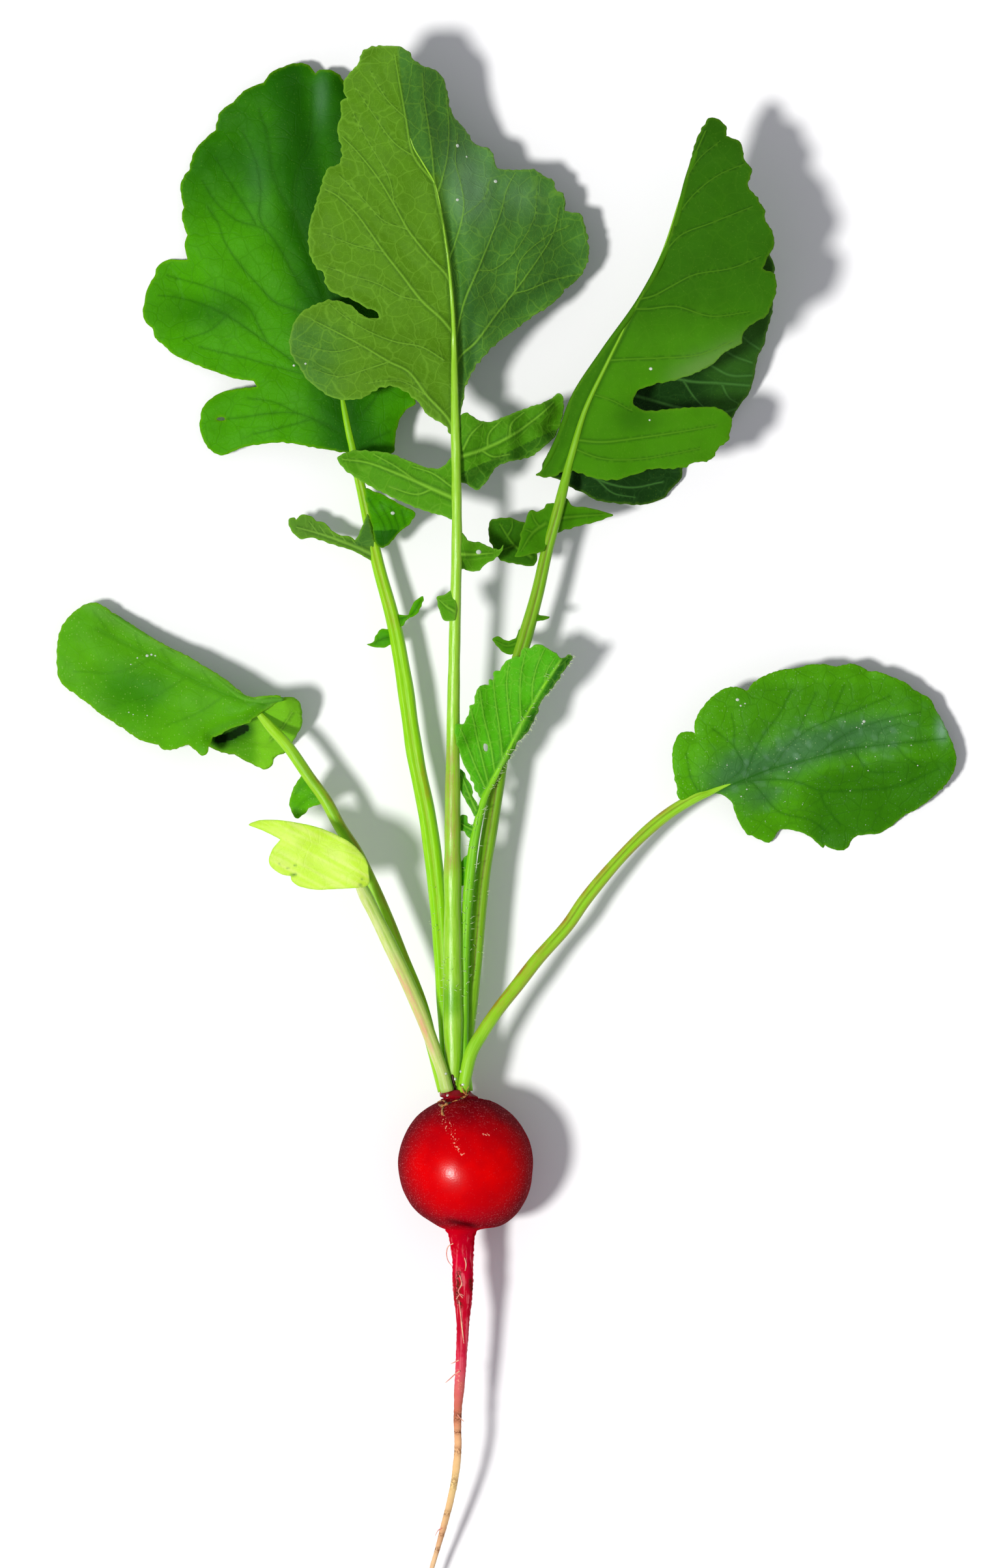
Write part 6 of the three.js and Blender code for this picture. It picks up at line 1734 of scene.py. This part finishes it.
# ------------------------------------------------------------------ hairs and dew
# Short white hairs stand on the young leaf and on a few stalks, and drops of water rest on the
# leaves and in the crown.

hair_white, tree, shader, _ = new_material("hair")
soft_white = place(tree, mottle, {"Main": colour(226, 240, 190), "Patch": colour(196, 226, 140),
                                  "Patch size mm": 0.8, "Patch amount": 0.6,
                                  "Fleck": colour(255, 255, 250), "Fleck amount": 0.4})
tree.links.new(soft_white.outputs[0], shader.inputs["Base Color"])
tree.links.new(span(tree, soft_white.outputs[1], 0.1, 0.9, 0.5, 0.3), shader.inputs["Roughness"])


def hairs(roots, ways, length, seed):
    """Tapering three-sided hairs from the given points."""
    draw = np.random.default_rng(seed)
    made = []
    for root, way in zip(roots, ways):
        way = way + draw.normal(size=3) * 0.35
        way /= np.linalg.norm(way)
        reach = length * draw.uniform(0.55, 1.2)
        bend = draw.normal(size=3) * 0.12 * reach
        line = np.array([root - way * 0.1, root + way * reach * 0.55 + bend, root + way * reach])
        made.append((*tube(line + (0, 0, 1e-6), np.array([0.062, 0.046, 0.014]), 3)[:2], {}))
    return made


draw = np.random.default_rng(90)
tufts = []
for route, low, high, count, length in (
    (young_route, 30, 92, 130, 0.75),
    ([(-2.3, 28, 13.3, 1.82), (-2.35, 40, 14, 1.68)], 28, 38, 26, 0.7),
    ([(0.1, 22, 10.2, 1.2), (1.5, 35, 10.3, 1.3), (3, 52, 10.4, 1.35)], 22, 52, 24, 0.6),
    ([(-4.7, 42.5, 9.6, 1.48), (-5.5, 52, 9.1, 1.55)], 42, 52, 14, 0.5),
):
    fine = curve(route, 0.3)
    fine = fine[(fine[:, 1] > low) & (fine[:, 1] < high)]
    picked = fine[draw.integers(0, len(fine), count)]
    turn = draw.uniform(-0.3, math.pi + 0.3, count)
    ways = np.stack([np.cos(turn), draw.uniform(-0.1, 0.4, count), np.sin(turn)], 1)
    tufts += hairs(picked[:, :3] + ways * picked[:, 3:4] * 0.95, ways, length * 1.2, int(low))
EDGE_HAIRS = 90
edge = curve([p[:2] for p in YOUNG_MARGIN[:13]], 0.3)
picked = edge[draw.integers(0, len(edge), EDGE_HAIRS)]
roots = np.column_stack([picked, young_height(picked) - 0.2])
ways = np.tile((0.8, -0.3, 0.3), (EDGE_HAIRS, 1)) + draw.normal(size=(EDGE_HAIRS, 3)) * 0.3
tufts += hairs(roots, ways, 0.7, 91)
points, faces, _ = join(tufts)
piece("fine_hairs", points, faces, hair_white)

water, tree, shader, _ = new_material("dew")
# Clear water has no colour: the drops' near-white base colour is a painted glint.
shimmer = place(tree, mottle, {"Main": colour(250, 255, 246), "Patch": colour(236, 250, 226),
                               "Patch size mm": 0.4})
tree.links.new(shimmer.outputs[0], shader.inputs["Base Color"])
tree.links.new(span(tree, shimmer.outputs[1], 0.1, 0.9, 0.05, 0.02), shader.inputs["Roughness"])
shader.inputs["Transmission Weight"].default_value = 0.45
shader.inputs["IOR"].default_value = 1.33

leaf_pieces = [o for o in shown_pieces() if o.name.endswith(("blade", "seed_leaf"))
               or "leaflet" in o.name or o.name.startswith("stalk")]
under_drop = []
for item in leaf_pieces:
    mesh = item.data
    held_points = [v.co * 1000 for v in mesh.vertices]
    held_faces = [tuple(p.vertices) for p in mesh.polygons]
    under_drop.append(BVHTree.FromPolygons(held_points, held_faces))
under_drop.append(root_tree)
DROPS = [
    (-1.5, 187, 0.4), (5.5, 180.5, 0.36), (-1.5, 177, 0.3), (0.2, 185, 0.22), (50, 85.3, 0.34),
    (50.6, 84.2, 0.2), (51.4, 84.6, 0.16), (73.3, 81.3, 0.3), (73, 80.9, 0.16),
    (-58.6, 93.4, 0.3), (-57.8, 93.6, 0.22), (-57.1, 93.4, 0.18), (-60.4, 93, 0.16),
    (-61.6, 91.8, 0.14), (-62, 83, 0.14), (-61.2, 82.6, 0.12), (-58.6, 82.4, 0.14),
    (-13.4, 119.6, 0.4), (34, 146, 0.34), (33.8, 136.6, 0.2), (-3.3, 12.6, 0.3),
    (-2, 15.6, 0.35), (-0.9, 17, 0.3), (-0.5, 14.6, 0.3), (-3.6, 16.6, 0.28),
    (-31.6, 146.8, 0.25), (-29.4, 147, 0.22), (2.4, 112.4, 0.5),
]
GLINTS = 34
DROP_SIDES = 20
DROP_HEIGHT = 0.55
DROP_DEPTH = 0.2

draw = np.random.default_rng(97)
for _ in range(GLINTS):
    x = draw.uniform(47, 84)
    y = 69.6 + (x - 47) * 0.24 + draw.normal() * 4
    DROPS.append((x, y, draw.uniform(0.07, 0.17)))
rise = np.linspace(-0.25, 1, 9)[:-1] * math.pi / 2
around = np.arange(DROP_SIDES) * 2 * math.pi / DROP_SIDES
shape = [(math.cos(a) * math.cos(t), math.cos(a) * math.sin(t) * 0.86, math.sin(a) * DROP_HEIGHT)
         for a in rise for t in around]
shape += [(0, 0, DROP_HEIGHT), (0, 0, -DROP_DEPTH)]
drop_faces = []
last = (len(rise) - 1) * DROP_SIDES
for j in range(DROP_SIDES):
    k = (j + 1) % DROP_SIDES
    for start in range(0, last, DROP_SIDES):
        after = start + DROP_SIDES
        drop_faces.append((start + j, start + k, after + k, after + j))
    drop_faces += [(last + j, last + k, len(shape) - 2), (k, j, len(shape) - 1)]
drops = []
for x, y, size in DROPS:
    hits = [t.ray_cast(Vector((x, y, 60)), Vector((0, 0, -1))) for t in under_drop]
    hits = [h for h in hits if h[0] is not None]
    if not hits:
        continue
    top = max(hits, key=lambda h: h[0].z)
    facing_up = top[1] if top[1].z > 0 else -top[1]
    turn = Vector((0, 0, 1)).rotation_difference(facing_up)
    made = [tuple(turn @ (Vector(p) * size) + top[0]) for p in shape]
    drops.append((np.array(made), drop_faces, {}))
points, faces, _ = join(drops)
piece("dew_drops", points, faces, water)


# ------------------------------------------------------------------ table, light and camera
# A plain pale table, one broad soft lamp high on the left, and even light from all round. The
# camera looks straight down.

table_top, tree, shader, _ = new_material("table_top")
place_of = node(tree, "TexCoord").outputs["Object"]
faint = node(tree, "TexNoise", {"Vector": place_of, "Scale": 30.0, "Detail": 3.0})
plain = blend(tree, faint.outputs[0], colour(250, 250, 250), colour(246, 246, 248))
tree.links.new(plain, shader.inputs["Base Color"])
tree.links.new(span(tree, faint.outputs[0], 0.2, 0.8, 0.75, 0.85), shader.inputs["Roughness"])
shader.inputs["Specular IOR Level"].default_value = 0.1
half = 1.5  # metres from the middle of the table to its sides
mesh = bpy.data.meshes.new("table_top")
mesh.from_pydata([(-half, -half, 0), (half, -half, 0), (half, half, 0), (-half, half, 0)], [],
                 [(0, 1, 2, 3)])
mesh.materials.append(table_top)
floor = bpy.data.objects.new("table_top", mesh)
floor.location.z = -0.00002  # just under the root's flat, so that they share no plane
bpy.context.scene.collection.objects.link(floor)

lamp = bpy.data.lights.new("soft_lamp", "SUN")
lamp.energy = 2.75
lamp.angle = 0.15
lamp.color = (1.0, 0.99, 0.97)
lamp_object = bpy.data.objects.new("soft_lamp", lamp)
lamp_object.rotation_mode = "QUATERNION"
lamp_object.rotation_quaternion = Vector((-0.435, -0.15, 0.888)).to_track_quat("Z", "Y")
bpy.context.scene.collection.objects.link(lamp_object)

world = bpy.data.worlds.new("even_light")
world.use_nodes = True
backdrop = world.node_tree.nodes["Background"]
backdrop.inputs["Color"].default_value = (0.93, 0.92, 1.0, 1)
backdrop.inputs["Strength"].default_value = 0.4
bpy.context.scene.world = world
bpy.context.scene.view_settings.view_transform = "Standard"

camera = bpy.data.cameras.new("overhead")
camera.lens = 600
camera.sensor_fit = "VERTICAL"
camera.sensor_height = 36
camera.clip_end = 20
camera_object = bpy.data.objects.new("overhead", camera)
camera_object.location = (0.0066, 0.0698, 4.814)
bpy.context.scene.collection.objects.link(camera_object)
bpy.context.scene.camera = camera_object
